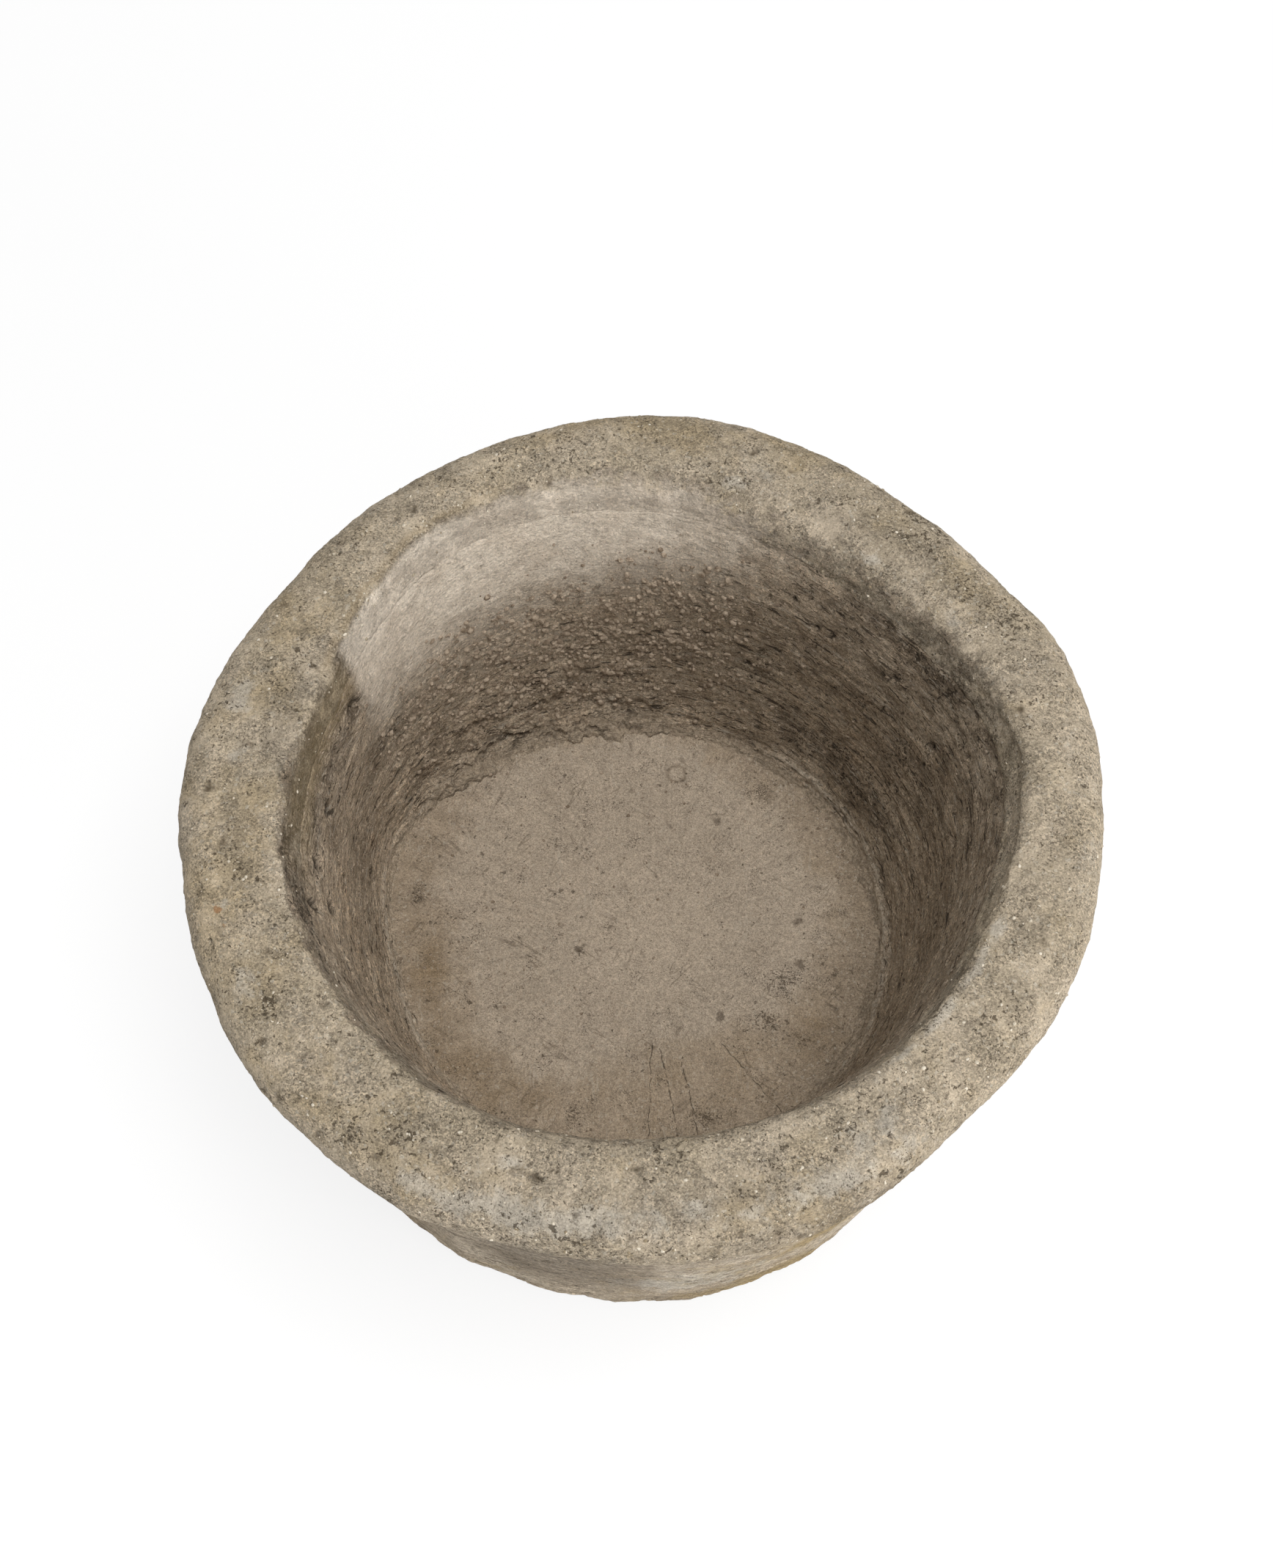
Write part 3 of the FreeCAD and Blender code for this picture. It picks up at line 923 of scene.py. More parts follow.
# Inner wall, dirt and painted shade under the lip and the collar: degrees round, height, length round, size up,
# strength
WALL_DIRT_AND_SHADE = ((30, 108, 40, 22, 1.0), (22, 116, 34, 16, 0.9), (45, 114, 50, 22, 0.9),
             (14, 200, 100, 60, 0.4), (340, 190, 120, 60, 0.25), (60, 190, 60, 40, 0.35),
             (157, 262, 12, 12, 0.8), (153, 240, 14, 7, 0.7), (186, 240, 30, 20, 0.2),
             (174, 262, 50, 24, 0.7), (20, 278, 60, 10, 0.3), (355, 280, 50, 10, 0.4),
             (150, 180, 40, 24, 0.7), (28, 278, 60, 18, 0.8), (42, 285, 50, 18, 0.7),
             (10, 272, 50, 22, 0.6), (36, 243, 50, 24, 0.5))
# Inner wall where the coat is paler, partly paler coat and partly painted light lifting its shade: the same
# order
WALL_PALER_AND_LIT = ((204, 165, 80, 60, 1.2), (196, 222, 50, 34, 1.3), (345, 200, 110, 60, 0.4),
              (188, 185, 40, 36, 1.7), (146, 115, 70, 50, 0.7), (118, 115, 80, 45, 0.5),
              (330, 150, 90, 70, 0.3), (108, 188, 110, 26, 1.0), (129, 195, 40, 30, 0.9),
              (168, 186, 30, 40, 0.7), (219, 99, 40, 30, 0.6), (80, 235, 70, 30, 0.3),
              (60, 292, 80, 20, 0.3), (168, 87, 60, 26, 0.9), (190, 85, 90, 22, 0.8),
              (219, 90, 60, 26, 0.9))
WALL_CRUMBS = ((100, 170, 90, 46, 1.0), (84, 215, 46, 30, 0.9), (122, 180, 60, 34, 0.8),
               (110, 120, 90, 26, 0.8), (140, 165, 40, 30, 0.6), (78, 160, 40, 40, 0.6))
WALL_HOLES = ((197.9, 274, 5, 9, 1.0), (194.2, 230, 6, 10, 1.0), (183, 185, 4, 6, 0.7),
              (176, 243, 7, 8, 0.9), (188.4, 255, 7, 8, 0.9), (193, 280, 5, 6, 0.8), (157, 264, 7, 6, 0.8),
              (181, 214, 5, 7, 0.7), (52, 236, 3.5, 3, 0.9), (48, 240, 3, 3, 0.9), (58, 252, 2.5, 2.5, 0.8),
              (33, 245, 4, 3.5, 0.7), (205, 150, 4, 4, 0.7), (20, 222, 5, 5, 0.6), (2, 205, 6, 5, 0.6))
# Inner wall where the coat is torn into layers: the same order
WALL_LAPS = ((122, 92, 110, 34, 0.6), (140, 120, 44, 40, 0.6), (100, 84, 60, 18, 0.5),
             (164, 255, 30, 16, 0.7), (188, 270, 24, 14, 0.6), (15, 282, 60, 9, 0.5))
# Cove between the wall and the floor: degrees round, radius
COVE_SIZE = ((0, 17), (30, 15), (60, 15), (90, 19), (120, 22), (145, 18), (165, 11), (205, 9), (240, 12),
             (270, 15), (310, 15), (340, 17))
# Torn laps at the foot of the coat: degrees round, strength; and how far up from the toe, thickness
LAP_STRENGTH = ((0, 0.15), (40, 0.3), (60, 0.1), (82, 0.4), (98, 0.85), (118, 1.0), (142, 1.0), (152, 0.4),
                (162, 0.1), (250, 0.1), (330, 0.2))
LAP_STEPS = ((7, 3.2), (15, 2.4), (25, 3.0), (37, 2.4), (50, 2.6), (66, 1.8))
# Floor: edge of the pale middle as degrees round and distance out
PALE_EDGE = ((0, 147), (11, 151), (30, 139), (55, 150), (90, 166), (130, 176), (160, 166), (178, 144),
             (189, 138), (212, 152), (229, 145), (249, 124), (279, 99), (311, 108), (342, 140))
# Floor: x, y, size x, size y, strength
FLOOR_BROWN = ((-160, -40, 26, 50, 1.0), (-140, -95, 40, 36, 0.8), (-96, -132, 46, 30, 0.8),
               (-20, -140, 60, 30, 0.45), (70, -130, 50, 34, 0.7), (130, -90, 36, 40, 0.6),
               (-150, 40, 20, 24, 0.2), (60, 130, 40, 18, 0.4), (150, 10, 18, 70, 0.25))
FLOOR_POCKS = ((94, 114, 14, 12, 0.9), (114, -43, 18, 12, 0.9), (97, -74, 16, 12, 0.8),
               (-138, 8, 16, 10, 0.8), (-171, 23, 7, 5, 1.0), (-66, 45, 10, 6, 0.5), (-58, 66, 12, 8, 0.6),
               (60, 60, 26, 16, 0.4), (-20, -140, 40, 14, 0.4), (50, -150, 16, 10, 0.6))
FLOOR_CRACKS = (((15, -96), (28, -165), 0.6), ((31, -108), (42, -165), 0.6), ((9, -91), (6, -165), 0.4),
                ((60, -92), (104, -146), 0.4))
# Outer wall: degrees round, height, length round, size up, strength
WALL_OCHRE = ((291, 20, 70, 60, 1.0), (285, 120, 80, 60, 0.5), (60, 40, 120, 50, 0.6),
              (150, 60, 150, 50, 0.5), (220, 30, 120, 40, 0.6), (345, 50, 90, 50, 0.5),
              (300, 165, 60, 70, 0.8))
WALL_LIME = ((278, 235, 60, 18, 0.6), (278, 110, 60, 60, 0.8), (300, 200, 60, 40, 0.5),
             (120, 180, 90, 40, 0.4), (30, 210, 90, 30, 0.4), (200, 160, 90, 40, 0.3))
# Foot of the outer wall: degrees round, length in degrees, millimetres out
FOOT_SWELL = ((247, 5, -2.6), (255, 6, 2.2), (287, 8, -2.2), (304, 10, 2.5))
# Weathering that the collar and the coat share, so that one runs into the other; in metres
HAND_LAID = {"Lump Size": 0.052, "Lump Depth": 0.0024, "Dent Size": 0.015, "Dent Depth": 0.0013,
             "Pit Size": 0.012, "Pit Share": 0.3, "Pit Depth": 0.0019, "Drag Length": 0.026,
             "Drag Width": 0.0062, "Drag Depth": 0.0025, "Layer Depth": 0.0075, "Grain Size": 0.0045,
             "Grain Depth": 0.0006, "Seed": 3.1}
# Weathering of the outer wall, the floor and the slab's underside, in metres
STREAKED = {**HAND_LAID, "Pit Share": 0.2, "Drag Length": 0.06, "Drag Width": 0.009, "Drag Depth": 0.0020,
            "Layer Depth": 0.006}
FLOATED = {"Lump Size": 0.06, "Lump Depth": 0.0018, "Dent Size": 0.018, "Dent Depth": 0.0008,
           "Pit Size": 0.012, "Pit Share": 0.14, "Pit Depth": 0.0012, "Drag Length": 0.03,
           "Drag Width": 0.03, "Drag Depth": 0.0, "Layer Depth": 0.006, "Grain Size": 0.0045,
           "Grain Depth": 0.0004, "Seed": 5.7}
SLAB_CAST = {"Lump Size": 0.07, "Lump Depth": 0.0010, "Dent Size": 0.02, "Dent Depth": 0.0006,
             "Pit Size": 0.012, "Pit Share": 0.3, "Pit Depth": 0.0012, "Drag Length": 0.05,
             "Drag Width": 0.05, "Drag Depth": 0.0, "Layer Depth": 0.0, "Grain Size": 0.006,
             "Grain Depth": 0.0004, "Seed": 6.4}
# Rings on which the lengths of the marks are measured, in millimetres out
RIM_RING, LAP_RING, COAT_RING, HOLE_RING, WALL_RING = 275, 200, 205, 215, 280
# Dip in the floor, and the ring pressed into it: x, y, size; radius and half width of its line
FLOOR_DIP = ((-171, 23, 7, 5, 1.0),)
RING_X, RING_Y, RING_RADIUS, RING_LINE = 29, 130, 7, 1.2
CREST_FALL = 1.2        # the rim's top falls by this much towards the shoulder
HIDDEN = 999            # way up from the toe, for rows that are out of sight
# Stretches of the bowl: degrees round to the middle, and how far from it the mark is full and is gone
LEDGE_GONE, SHADED_WALL, GRITTY_FLOOR = (318, 26, 44), (259, 7, 16), (8, 40, 66)
RAGGED_LIP, CRUMBLED_LIP, SHADED_LIP, UNDERCUT_LIP = (0, 20, 34), (356, 24, 36), (178, 16, 34), (2, 26, 44)
LEFT_RIDGE, RIGHT_RIDGE = (190, 18, 32), (10, 34, 56)
# Columns of points round each piece, and rows of points on its faces
RIM_COLUMNS, COAT_COLUMNS, FLOOR_COLUMNS, WALL_COLUMNS, SLAB_COLUMNS = 1000, 900, 560, 1000, 360
MOUTH_ROWS, LIP_ROWS, TOP_ROWS, SHOULDER_ROWS, FACE_ROWS, LEDGE_ROWS = 9, 11, 17, 22, 13, 9
COVE_ROWS, COAT_ROWS, FLOOR_ROWS, FOOT_ROWS, WALL_ROWS, SLAB_ROWS = 27, 78, 150, 7, 82, 90
# Depths and heights of hand marks, in millimetres
LIP_RAGS, CHIP_DEPTH, RIDGE_HEIGHT, HOLE_DEPTH = 2.6, 4, 2.2, 5.0
FLOOR_DISH, FLOOR_RISE, DIP_DEPTH = 1.2, 1.0, 3.0   # the floor's dish, its raised edge and the dip in it
# Hidden edges, in millimetres
UP_BEHIND = 5           # the wall and the coat run up behind the collar
COAT_TUCK = 5.0         # the coat leans back there
TURNED_BACK = 16        # and the tops of both turn back
TOE_DEPTH = 1.5         # the coat's toe runs down past the edge of the floor
SLAB_CLEAR = 1.2        # the slab's underside stands clear of the ground
LEDGE_TUCK = 8          # the ledge's underside runs on behind the face of the wall
REBATE = 4              # the collar's hidden face, out from the inside of the bare wall
BEDDING = 0.5           # hidden faces stand into each other


def skim_and_light_mark(angle, height):
    """How much of the pale skim covers the wall at a place, with painted light in its wide soft lower fade."""
    edge = round_curve(angle, ((0, 400),) + SKIM_LIGHT_EDGE + ((162, 400), (359, 400))) + 8 * ripple(angle, 4)
    # the wide fade paints the light dying away down the wall
    upper = eased(height, edge - 60, edge + 44)
    return upper * eased(angle, 42, 86) * (1 - eased(angle, 152, 156.5))


def lap_mark(angle, height):
    """Where the coat is torn into layers: low down at the back left, with a little all round."""
    return np.maximum(spots(angle, height, WALL_LAPS, LAP_RING), 0.12)


def torn_laps(angle, run):
    """Thickness of the torn layers, and a painted shadow line under each, by the way up from the coat's toe."""
    strength = round_curve(angle, LAP_STRENGTH)
    thick, line = np.zeros_like(run), np.zeros_like(run)
    for step, (start, depth) in enumerate(LAP_STEPS):
        past = run - (start + 5 * ripple(angle, 50 + step, (11, 19, 31, 53, 89, 149), 0.85))
        broken = eased(ripple(angle, 70 + step, (7, 12, 21, 34)), -0.5, 0.3)
        thick += depth * broken * eased(past, -0.9, 0.9) * (1 - eased(past, 3, 24))
        line = np.maximum(line, broken * stripe(past + 1.3, 1.4))
    return strength * thick, eased(strength, 0.2, 0.8) * line


def left_side(angle):
    """1 along the back left of the bowl, next to the pale skim."""
    return (1 - eased(angle, 178, 202)) * eased(angle, 152, 157)


def ledge_merge(angle):
    """How far the ledge has died out and the wall runs into the collar: full at the front right."""
    return close_to(angle, *LEDGE_GONE)


# Pieces

def rounding(steps):
    """Turns from 0 to a quarter, without the first: how far in from upright, and how far up to level."""
    return [(1 - math.cos(turn), math.sin(turn)) for turn in np.linspace(0, QUARTER, steps)[1:]]


def weathered(name, points, marks, material, settings, tube=True):
    """A finished piece from its points and marks."""
    return work_over(solid_mesh(name, points, marks, tube), weathering, {"Material": material, **settings})


def rim_collar_piece(material):
    """Rim collar: soft inner lip, worn top, rounded shoulder, ragged lower edge over the ledge."""
    lay = Layup(RIM_COLUMNS)
    angle = lay.angle
    lip = round_curve(angle, LIP_SOFTNESS)
    lip = lip + LIP_RAGS * close_to(angle, *RAGGED_LIP) * ripple(angle, 26, (19, 31, 53, 89))
    for height in (LAP_TOP - 6, LAP_TOP - 3):
        lay.add(lay.hollow(height) + lay.outward(0.8 * (LAP_TOP - height)), height)
    top = HEIGHT - lip
    for share in np.linspace(0, 1, MOUTH_ROWS):
        height = LAP_TOP + (top - LAP_TOP) * share
        lay.add(lay.hollow(height), height)
    for inward, up in rounding(LIP_ROWS):
        lay.add(lay.hollow(top) + lay.outward(lip * inward), HEIGHT - lip * (1 - up))
    lip_row = len(lay.rows) - 1
    inner = lay.hollow(top) + lay.outward(lip)
    outer = lay.rim - lay.outward(SHOULDER_ROUND)
    for share in np.linspace(0, 1, TOP_ROWS)[1:]:
        lay.add(inner + (outer - inner) * share, HEIGHT - CREST_FALL * share ** 2)
    crest = HEIGHT - CREST_FALL
    for down, outward in rounding(SHOULDER_ROWS):
        lay.add(outer + lay.outward(SHOULDER_ROUND * outward), crest - SHOULDER_ROUND * down)
    foot = lay.rim - FACE_LEAN * lay.ledge
    ledge = 1 - ledge_merge(angle)
    worn = 0.55 * LEDGE_ROUND * ledge * (1 + 0.45 * ripple(angle, 23, (17, 29, 47, 80))) + 0.5
    chipped = CHIP_DEPTH * eased(ripple(angle, 24, (13, 23, 41, 67, 110), 0.8), 0.0, 1.0) * ledge
    for share in np.linspace(0, 1, FACE_ROWS)[1:]:
        height = crest - SHOULDER_ROUND + (HEAD + chipped + worn - crest + SHOULDER_ROUND) * share
        lay.add(lay.rim + (foot - lay.rim) * share, height)
    for inward, down in rounding(LEDGE_ROWS):
        lay.add(foot - lay.outward(worn * inward), HEAD + chipped + worn * (1 - down))
    edge = foot - lay.outward(worn)
    tucked = lay.rim - lay.ledge - lay.outward(LEDGE_TUCK)
    for share in (0.4, 0.8, 1.0):
        lay.add(edge + (tucked - edge) * share, HEAD + chipped * (1 - share), 0.4)
    rebate = lay.outward(wall_face_radius(LAP_TOP) + REBATE)
    for height in (HEAD + 1, LAP_TOP - 6):
        lay.add(rebate, height, 0.0)

    points, angle, wear = lay.stacked()
    height = points[..., 2]
    steps = np.linalg.norm(np.diff(points, axis=0), axis=2)
    run = np.concatenate((np.zeros((1, lay.columns)), np.cumsum(steps, 0)))
    across = run - run[lip_row] + lip * 0.6
    on_top = eased(across, -4, 6)
    near_lip = 4 + 3 * ripple(angle, 15) + 7 * stripe(turned(angle, 86), 18)
    blur = round_curve(angle, LIP_BLUR)
    inner_face = 1 - eased(across, near_lip - 0.8 * blur, near_lip + 0.4 * blur - 3)
    skim = skim_and_light_mark(angle, height) * inner_face
    back = eased(angle, 104, 128) * (1 - eased(angle, 156, 162))
    seam = back * stripe(across - near_lip, 3.5)
    left = left_side(angle)

    def rim_spots(places):
        return spots(angle, across, places, RIM_RING)

    grey = rim_spots(RIM_GREY)
    return weathered("rim_collar_worn", points, {
        "wear": wear, "grey": grey, "skim": skim, "seam": seam,
        "crumbled": np.clip(grey + seam + 0.8 * close_to(angle, *CRUMBLED_LIP) * (1 - on_top), 0, 1),
        "pitted": (0.45 + 0.35 * on_top) * (1 - skim),
        "dragged": (1 - on_top) * (1 - 0.85 * skim) * (1 - 0.7 * left),
        "lapped": np.maximum(lap_mark(angle, height) * (1 - on_top), 0.12 * on_top),
        "lime": rim_spots(RIM_LIME), "ochre": rim_spots(RIM_OCHRE), "rust": rim_spots(RIM_RUST),
        # painted shade less painted light
        "dull": rim_spots(RIM_PAINTED_SHADE) - rim_spots(RIM_PAINTED_LIGHT),
        # painted shade on the collar's inner face below the left lip, over a little dirt all round
        "dirt": (0.3 + 0.5 * close_to(angle, *SHADED_LIP)) * (1 - on_top),
        # paler coat and painted light, mostly kept off the rim's top
        "paler": spots(angle, height, WALL_PALER_AND_LIT, COAT_RING) * (1 - 0.8 * on_top),
        "under_lip": (1 - eased(across, -14, 4)) * left * (1 - skim),
        "inside": inner_face * round_curve(angle, COAT_SHARE),
        "loose": np.clip(0.2 + grey + 2 * seam, 0, 2),
    }, material, HAND_LAID)


def wall_render_piece(material):
    """Coat inside the wall: level drags, crumbled grit at the back, torn laps at the floor, soft cove."""
    lay = Layup(COAT_COLUMNS)
    cove = round_curve(lay.angle, COVE_SIZE) + 2 * ripple(lay.angle, 7)
    toe_height, high = FLOOR_TOP - TOE_DEPTH, LAP_TOP + UP_BEHIND
    tilts, runs = [], []

    def add(plan, height, wear=1.0, tilt=0, run=HIDDEN):
        lay.add(plan, height, wear)
        tilts.append(tilt)
        runs.append(np.broadcast_to(run, (lay.columns,)))

    for turn in np.linspace(0, QUARTER, COVE_ROWS):
        height = toe_height + cove * (1 - math.cos(turn))
        add(lay.hollow(height) - lay.outward(cove * (1 - math.sin(turn))), height, tilt=turn, run=cove * turn)
    for share in np.linspace(0, 1, COAT_ROWS)[1:]:
        rise = (high - toe_height - cove) * share
        height = toe_height + cove + rise
        add(lay.hollow(height), height, tilt=QUARTER, run=cove * QUARTER + rise)
    add(lay.hollow(high) + lay.outward(TURNED_BACK), high, 0.0)
    for height in (high, (toe_height + high) / 2, SLAB_TOP):
        add(lay.outward(wall_face_radius(min(height, LAP_TOP)) + BEDDING), height, 0.0)
    add(lay.hollow(SLAB_TOP) + lay.outward(1), SLAB_TOP, 0.0)

    points, angle, wear = lay.stacked()
    height = points[..., 2].copy()
    tilt, run = np.array(tilts)[:, None], np.stack(runs)
    skim = skim_and_light_mark(angle, height)
    crumbs = spots(angle, height, WALL_CRUMBS, COAT_RING)
    clumps = ripple(angle + 0.35 * height, 80, (17, 29, 47)) + ripple(angle - 0.5 * height, 81, (19, 37))
    laps, torn = torn_laps(angle, run)
    along = np.maximum(close_to(angle, *LEFT_RIDGE), 0.7 * close_to(angle, *RIGHT_RIDGE))
    ridge = along * stripe(height - FLOOR_TOP - 10 - 3 * ripple(angle, 5), 3.0)
    high_band = close_to(angle, *UNDERCUT_LIP) * eased(height, LAP_TOP - 11, LAP_TOP - 1)
    groove = high_band * (0.6 + 1.5 * ripple(angle, 12))
    hole = spots(angle, height, WALL_HOLES, HOLE_RING)
    tucked = COAT_TUCK * eased(height, LAP_TOP, high)
    inward = laps * np.sin(tilt) + RIDGE_HEIGHT * ridge - groove - HOLE_DEPTH * eased(hole, 0.15, 0.8) - tucked
    points[..., :2] -= (inward * wear)[..., None] * lay.out
    points[..., 2] += laps * np.cos(tilt) * wear
    side = 0.5 + 0.5 * np.abs(np.cos(np.radians(angle - 8)))
    return weathered("wall_render_dragged", points, {
        "wear": wear, "crumbled": crumbs, "ridge": ridge, "pitted": 0.45 * (1 - skim),
        "dragged": side * (1 - 0.85 * skim), "lapped": lap_mark(angle, height) * (1 - 0.8 * skim),
        "skim": skim * (1 - 0.35 * crumbs), "torn": torn * wear,
        "toe": 1 - eased(run + 4 * ripple(angle, 6), 0.6 * cove, 1.5 * cove),
        # paler coat and painted light
        "paler": spots(angle, height, WALL_PALER_AND_LIT, COAT_RING), "hole": eased(hole, 0.25, 0.7) * wear,
        "under_lip": left_side(angle) * eased(height, 262 + 8 * ripple(angle, 8), 284),
        # dirt and painted shade, and painted shadow in the gouges
        "dirt": np.maximum(spots(angle, height, WALL_DIRT_AND_SHADE, COAT_RING), hole),
        "loose": crumbs * (0.3 + 1.4 * eased(clumps, -0.6, 1.2)) * (1 - 0.6 * skim) * wear,
        "flaky": side * (1 - skim) * (1 - crumbs) ** 3 * wear,
    }, material, HAND_LAID)


def floor_screed_piece(material):
    """Floated floor with a slight dish, uneven at its edge."""
    lay = Layup(FLOOR_COLUMNS)
    for share in np.linspace(TIP, 1, FLOOR_ROWS):
        height = FLOOR_TOP - FLOOR_DISH * (1 - share ** 2) + FLOOR_RISE * eased(share, 0.86, 0.98)
        lay.add(lay.hollow(FLOOR_TOP) * share, height)
    for share in (1.0, 0.6, TIP):
        lay.add(lay.hollow(SLAB_TOP) * share, SLAB_TOP, 0.0)
    points, _, wear = lay.stacked()
    plan_x, plan_y = points[..., 0], points[..., 1]
    angle = np.degrees(np.arctan2(plan_y, plan_x)) % 360
    out = np.hypot(plan_x, plan_y)
    edge = round_curve(angle, PALE_EDGE) + 6 * ripple(angle, 31)
    rough_edge = eased(out, 145, 176)
    right_edge = rough_edge * close_to(angle, *GRITTY_FLOOR)
    pale = 1 - eased(out, edge - 24, edge + 18)
    pocks = spots(plan_x, plan_y, FLOOR_POCKS)
    points[..., 2] -= DIP_DEPTH * eased(spots(plan_x, plan_y, FLOOR_DIP), 0.2, 0.9) * wear
    return weathered("floor_screed_floated", points, {
        "wear": wear, "crumbled": 0.4 * rough_edge + right_edge, "pitted": 0.3 + pocks, "dragged": 0.0,
        "lapped": 0.15 * rough_edge, "pale": pale, "brown": spots(plan_x, plan_y, FLOOR_BROWN) * (1 - pale),
        "pocked": pocks, "ring": stripe(np.hypot(plan_x - RING_X, plan_y - RING_Y) - RING_RADIUS, RING_LINE),
        "gritty": np.clip(0.35 * rough_edge + right_edge, 0, 1),
        "loose": (0.12 + right_edge + 0.35 * rough_edge) * wear,
    }, material, FLOATED, tube=False)


def wall_ring_piece(material):
    """Outer wall: tapered, streaked, running into the collar where the ledge dies out at the right."""
    lay = Layup(WALL_COLUMNS)
    corner = sum(out * stripe(turned(lay.angle, place), width) for place, width, out in FOOT_SWELL)
    for turn in np.linspace(QUARTER, 0, FOOT_ROWS):
        height = FOOT_ROUND * (1 - math.sin(turn))
        inset = FOOT_ROUND * (1 - math.cos(turn)) - corner
        lay.add(lay.wall(height) - lay.outward(inset), height, 1 - math.sin(turn) ** 8)
    merge = ledge_merge(lay.angle)
    spare = FACE_LEAN * np.linalg.norm(lay.ledge, axis=1)
    for height in np.linspace(FOOT_ROUND, HEAD + UP_BEHIND, WALL_ROWS)[1:]:
        swell = merge * spare * eased(height, HEAD - 60, HEAD - 2) - merge * 2 * eased(height, HEAD, HEAD + 4)
        swell = swell + corner * (1 - eased(height, 0, HEAD - 20))
        lay.add(lay.wall(height) + lay.outward(swell), height)
    head, face = wall_face_radius(LAP_TOP), wall_face_radius(SLAB_TOP)
    slab = face + SLAB_TUCK
    lay.add(lay.outward(head + TURNED_BACK), HEAD + UP_BEHIND, 0.0)
    for radius, height in ((head, LAP_TOP - 1), (face, SLAB_TOP), (slab, SLAB_TOP), (slab - SLAB_DRAFT, 0)):
        lay.add(lay.outward(radius + BEDDING), height, 0.0)

    points, angle, wear = lay.stacked()
    height = points[..., 2]
    # Painted shade on the wall under the ledge's overhang, at the front left, dying out where the ledge merges
    ledge_shade = 0.6 * eased(height, 40 + 15 * ripple(angle, 2), 115) * (1 - 0.9 * merge)
    ledge_shade *= 0.1 + 0.9 * close_to(angle, *SHADED_WALL)
    undercut_shade = eased(height, HEAD - 16 + 8 * ripple(angle, 25, (19, 31, 53)), HEAD - 3) * (1 - merge)
    return weathered("wall_ring_streaked", points, {
        "wear": wear, "crumbled": 0.0, "pitted": 0.7, "dragged": 1.0, "lapped": 0.25,
        "ochre": spots(angle, height, WALL_OCHRE, WALL_RING),
        "lime": spots(angle, height, WALL_LIME, WALL_RING), "sheltered": np.maximum(ledge_shade, undercut_shade),
    }, material, STREAKED)


def floor_slab_piece(material):
    """Slab under the floor; only its underside shows."""
    lay = Layup(SLAB_COLUMNS)
    top = lay.outward(wall_face_radius(SLAB_TOP) + SLAB_TUCK)
    under = top - lay.outward(SLAB_DRAFT)
    for share in (TIP, 0.5, 1.0):
        lay.add(top * share, SLAB_TOP, 0.0)
    for share in np.linspace(1, TIP, SLAB_ROWS):
        lay.add(under * share, SLAB_CLEAR, 1.0 if share < 0.99 else 0.0)
    points, _, wear = lay.stacked()
    return weathered("floor_slab_underside", points, {
        "wear": wear, "crumbled": 0.5, "pitted": 0.8, "dragged": 0.0, "lapped": 0.0, "ochre": 0.2, "lime": 0.0,
        "sheltered": 0.0,
    }, material, SLAB_CAST, tube=False)


def grains_on(name, carrier, material, **settings):
    """Loose grains over a finished piece, as a piece of their own."""
    return work_over(placed(name, carrier.data.copy()), grit, {"Material": material, **spaced(settings)})


weathering, grit = weathering_tree(), grit_tree()
wall_stone, inner_coat = wall_finish(), coat_finish()
collar = rim_collar_piece(rim_finish())
coat = wall_render_piece(inner_coat)
screed = floor_screed_piece(floor_finish())
wall = wall_ring_piece(wall_stone)
slab = floor_slab_piece(wall_stone)
coat_grit = grit_finish("coat_grit", (164, 148, 129), (118, 103, 86))
rim_grit = grit_finish("rim_grit", (206, 196, 178), (140, 126, 102))
crumbs = grains_on("coat_crumbs", coat, coat_grit, Mark="loose", Grains_per_m2=230000.0,
                   Smallest=0.0005, Largest=0.0030, Flatness=0.75, Length=1.1, Seed=5)
flakes = grains_on("coat_flakes", coat, coat_grit, Mark="flaky", Grains_per_m2=26000.0,
                   Smallest=0.0004, Largest=0.0014, Flatness=0.35, Length=1.8, Seed=9)
rim_grains = grains_on("rim_grains", collar, rim_grit, Mark="loose", Grains_per_m2=30000.0,
                       Smallest=0.0004, Largest=0.0015, Flatness=0.6, Length=1.1, Seed=14)
floor_grains = grains_on("floor_grains", screed, coat_grit, Mark="loose", Grains_per_m2=40000.0,
                         Smallest=0.0004, Largest=0.0016, Flatness=0.6, Length=1.1, Seed=21)

for piece, node, slot in ((collar, "rim_collar", "rim_stone"), (coat, "wall_render", "inner_render"),
                          (screed, "floor_screed", "floor_screed"), (wall, "wall_ring", "wall_stone"),
                          (slab, "floor_slab", "wall_stone")):
    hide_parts(node)
    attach(piece, "root")
for piece, slot in ((crumbs, "inner_render"), (flakes, "inner_render"), (rim_grains, "rim_stone"),
                    (floor_grains, "floor_screed")):
    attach(piece, "root")


# Floor, light and camera, in metres

WHITE, MATT_WHITE = (1.0, 1.0, 1.0, 1.0), (0.8, 0.8, 0.8, 1.0)
FLOOR_GLOW, GLOW_SHARE = 1.08, 0.74     # the floor shows this much light of its own, over its shaded white
FILL_LIGHT, FILL_SEEN = 0.4, 0.6        # light from all round, and how much brighter it shows
FLOOR_REACH = 8
LENS, SENSOR = 44.77, 36                # millimetres
CAMERA_X, CAMERA_Y = -0.0025, -0.0015   # the place on the rim's level that the camera looks at
CAMERA_DISTANCE, CAMERA_FALL = 1.26, math.radians(63.58)


def camera_sees(bench):
    """1 where the camera looks, straight or by a mirror or through glass."""
    path = bench.put("ShaderNodeLightPath")
    return bench.most(path["Is Camera Ray"], path["Is Glossy Ray"], path["Is Transmission Ray"])


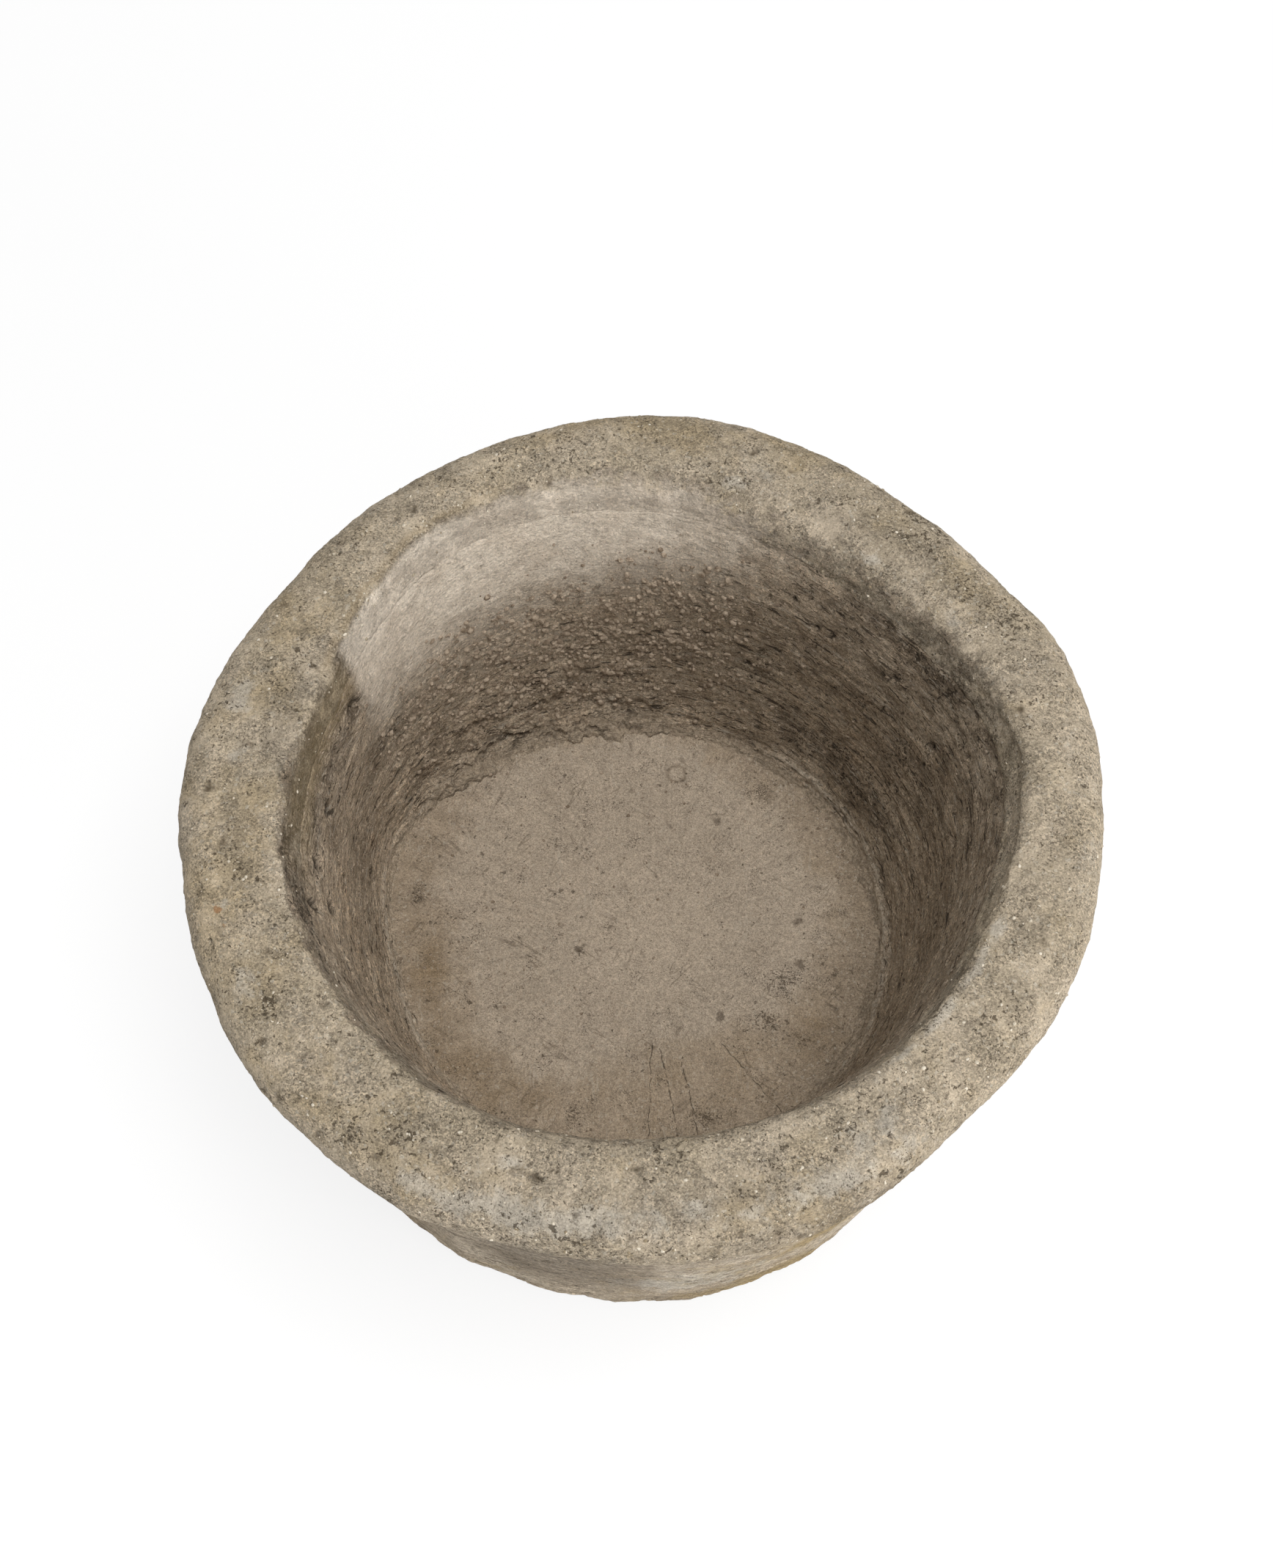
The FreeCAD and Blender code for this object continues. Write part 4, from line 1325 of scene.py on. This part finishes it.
def pale_floor():
    """Wide pale floor that shows nearly white and keeps the bowl's shadow."""
    corners = [(-FLOOR_REACH, -FLOOR_REACH, 0), (FLOOR_REACH, -FLOOR_REACH, 0),
               (FLOOR_REACH, FLOOR_REACH, 0), (-FLOOR_REACH, FLOOR_REACH, 0)]
    mesh = bpy.data.meshes.new("studio_floor")
    mesh.from_pydata(corners, [], [(0, 1, 2, 3)])
    floor = placed("studio_floor", mesh)
    material = bpy.data.materials.new("studio_white")
    material.use_nodes = True
    material.node_tree.nodes.clear()
    bench = Bench(material.node_tree)
    matt = bench.put("ShaderNodeBsdfDiffuse", {"Color": MATT_WHITE})
    glow = bench.put("ShaderNodeEmission", {"Color": WHITE, "Strength": FLOOR_GLOW})
    mixed = bench.put("ShaderNodeMixShader", {0: camera_sees(bench) * GLOW_SHARE, 1: matt[0], 2: glow[0]})
    bench.put("ShaderNodeOutputMaterial", {"Surface": mixed[0]})
    mesh.materials.append(material)


def soft_box(name, place, aim, width, height, power):
    """Rectangular studio light aimed at a point."""
    lamp = bpy.data.lights.new(name, "AREA")
    lamp.shape = "RECTANGLE"
    lamp.size, lamp.size_y, lamp.energy = width, height, power
    holder = placed(name, lamp)
    away = np.array(place, float) - np.array(aim, float)
    holder.location = place
    tilt = math.atan2(math.hypot(away[0], away[1]), away[2])
    holder.rotation_euler = (tilt, 0, math.atan2(away[0], -away[1]))


def studio():
    """Low key light from the front right, light from high overhead and an even fill."""
    soft_box("key_light", place=(1.36, -1.74, 0.75), aim=(0, 0, 0.3), width=1.7, height=1.2, power=35)
    soft_box("top_light", place=(0.8, -0.25, 3.9), aim=(0, 0, 0.2), width=2.0, height=2.0, power=106)
    world = bpy.data.worlds.new("studio_fill")
    bpy.context.scene.world = world
    world.use_nodes = True
    bench = Bench(world.node_tree)
    fill = world.node_tree.nodes["Background"]
    bench.feed(fill.inputs["Color"], WHITE)
    bench.feed(fill.inputs["Strength"], camera_sees(bench) * FILL_SEEN + FILL_LIGHT)


def photo_camera():
    """Camera at the photograph's place: looking down at about 64 degrees from the front."""
    lens = bpy.data.cameras.new("photo_camera")
    lens.sensor_width, lens.lens = SENSOR, LENS
    camera = placed("photo_camera", lens)
    back, up = CAMERA_DISTANCE * math.cos(CAMERA_FALL), CAMERA_DISTANCE * math.sin(CAMERA_FALL)
    camera.location = (CAMERA_X, CAMERA_Y - back, HEIGHT * MM + up)
    camera.rotation_euler = (math.pi / 2 - CAMERA_FALL, 0, 0)
    bpy.context.scene.camera = camera


pale_floor()
studio()
photo_camera()
bpy.context.scene.view_settings.view_transform = "Standard"
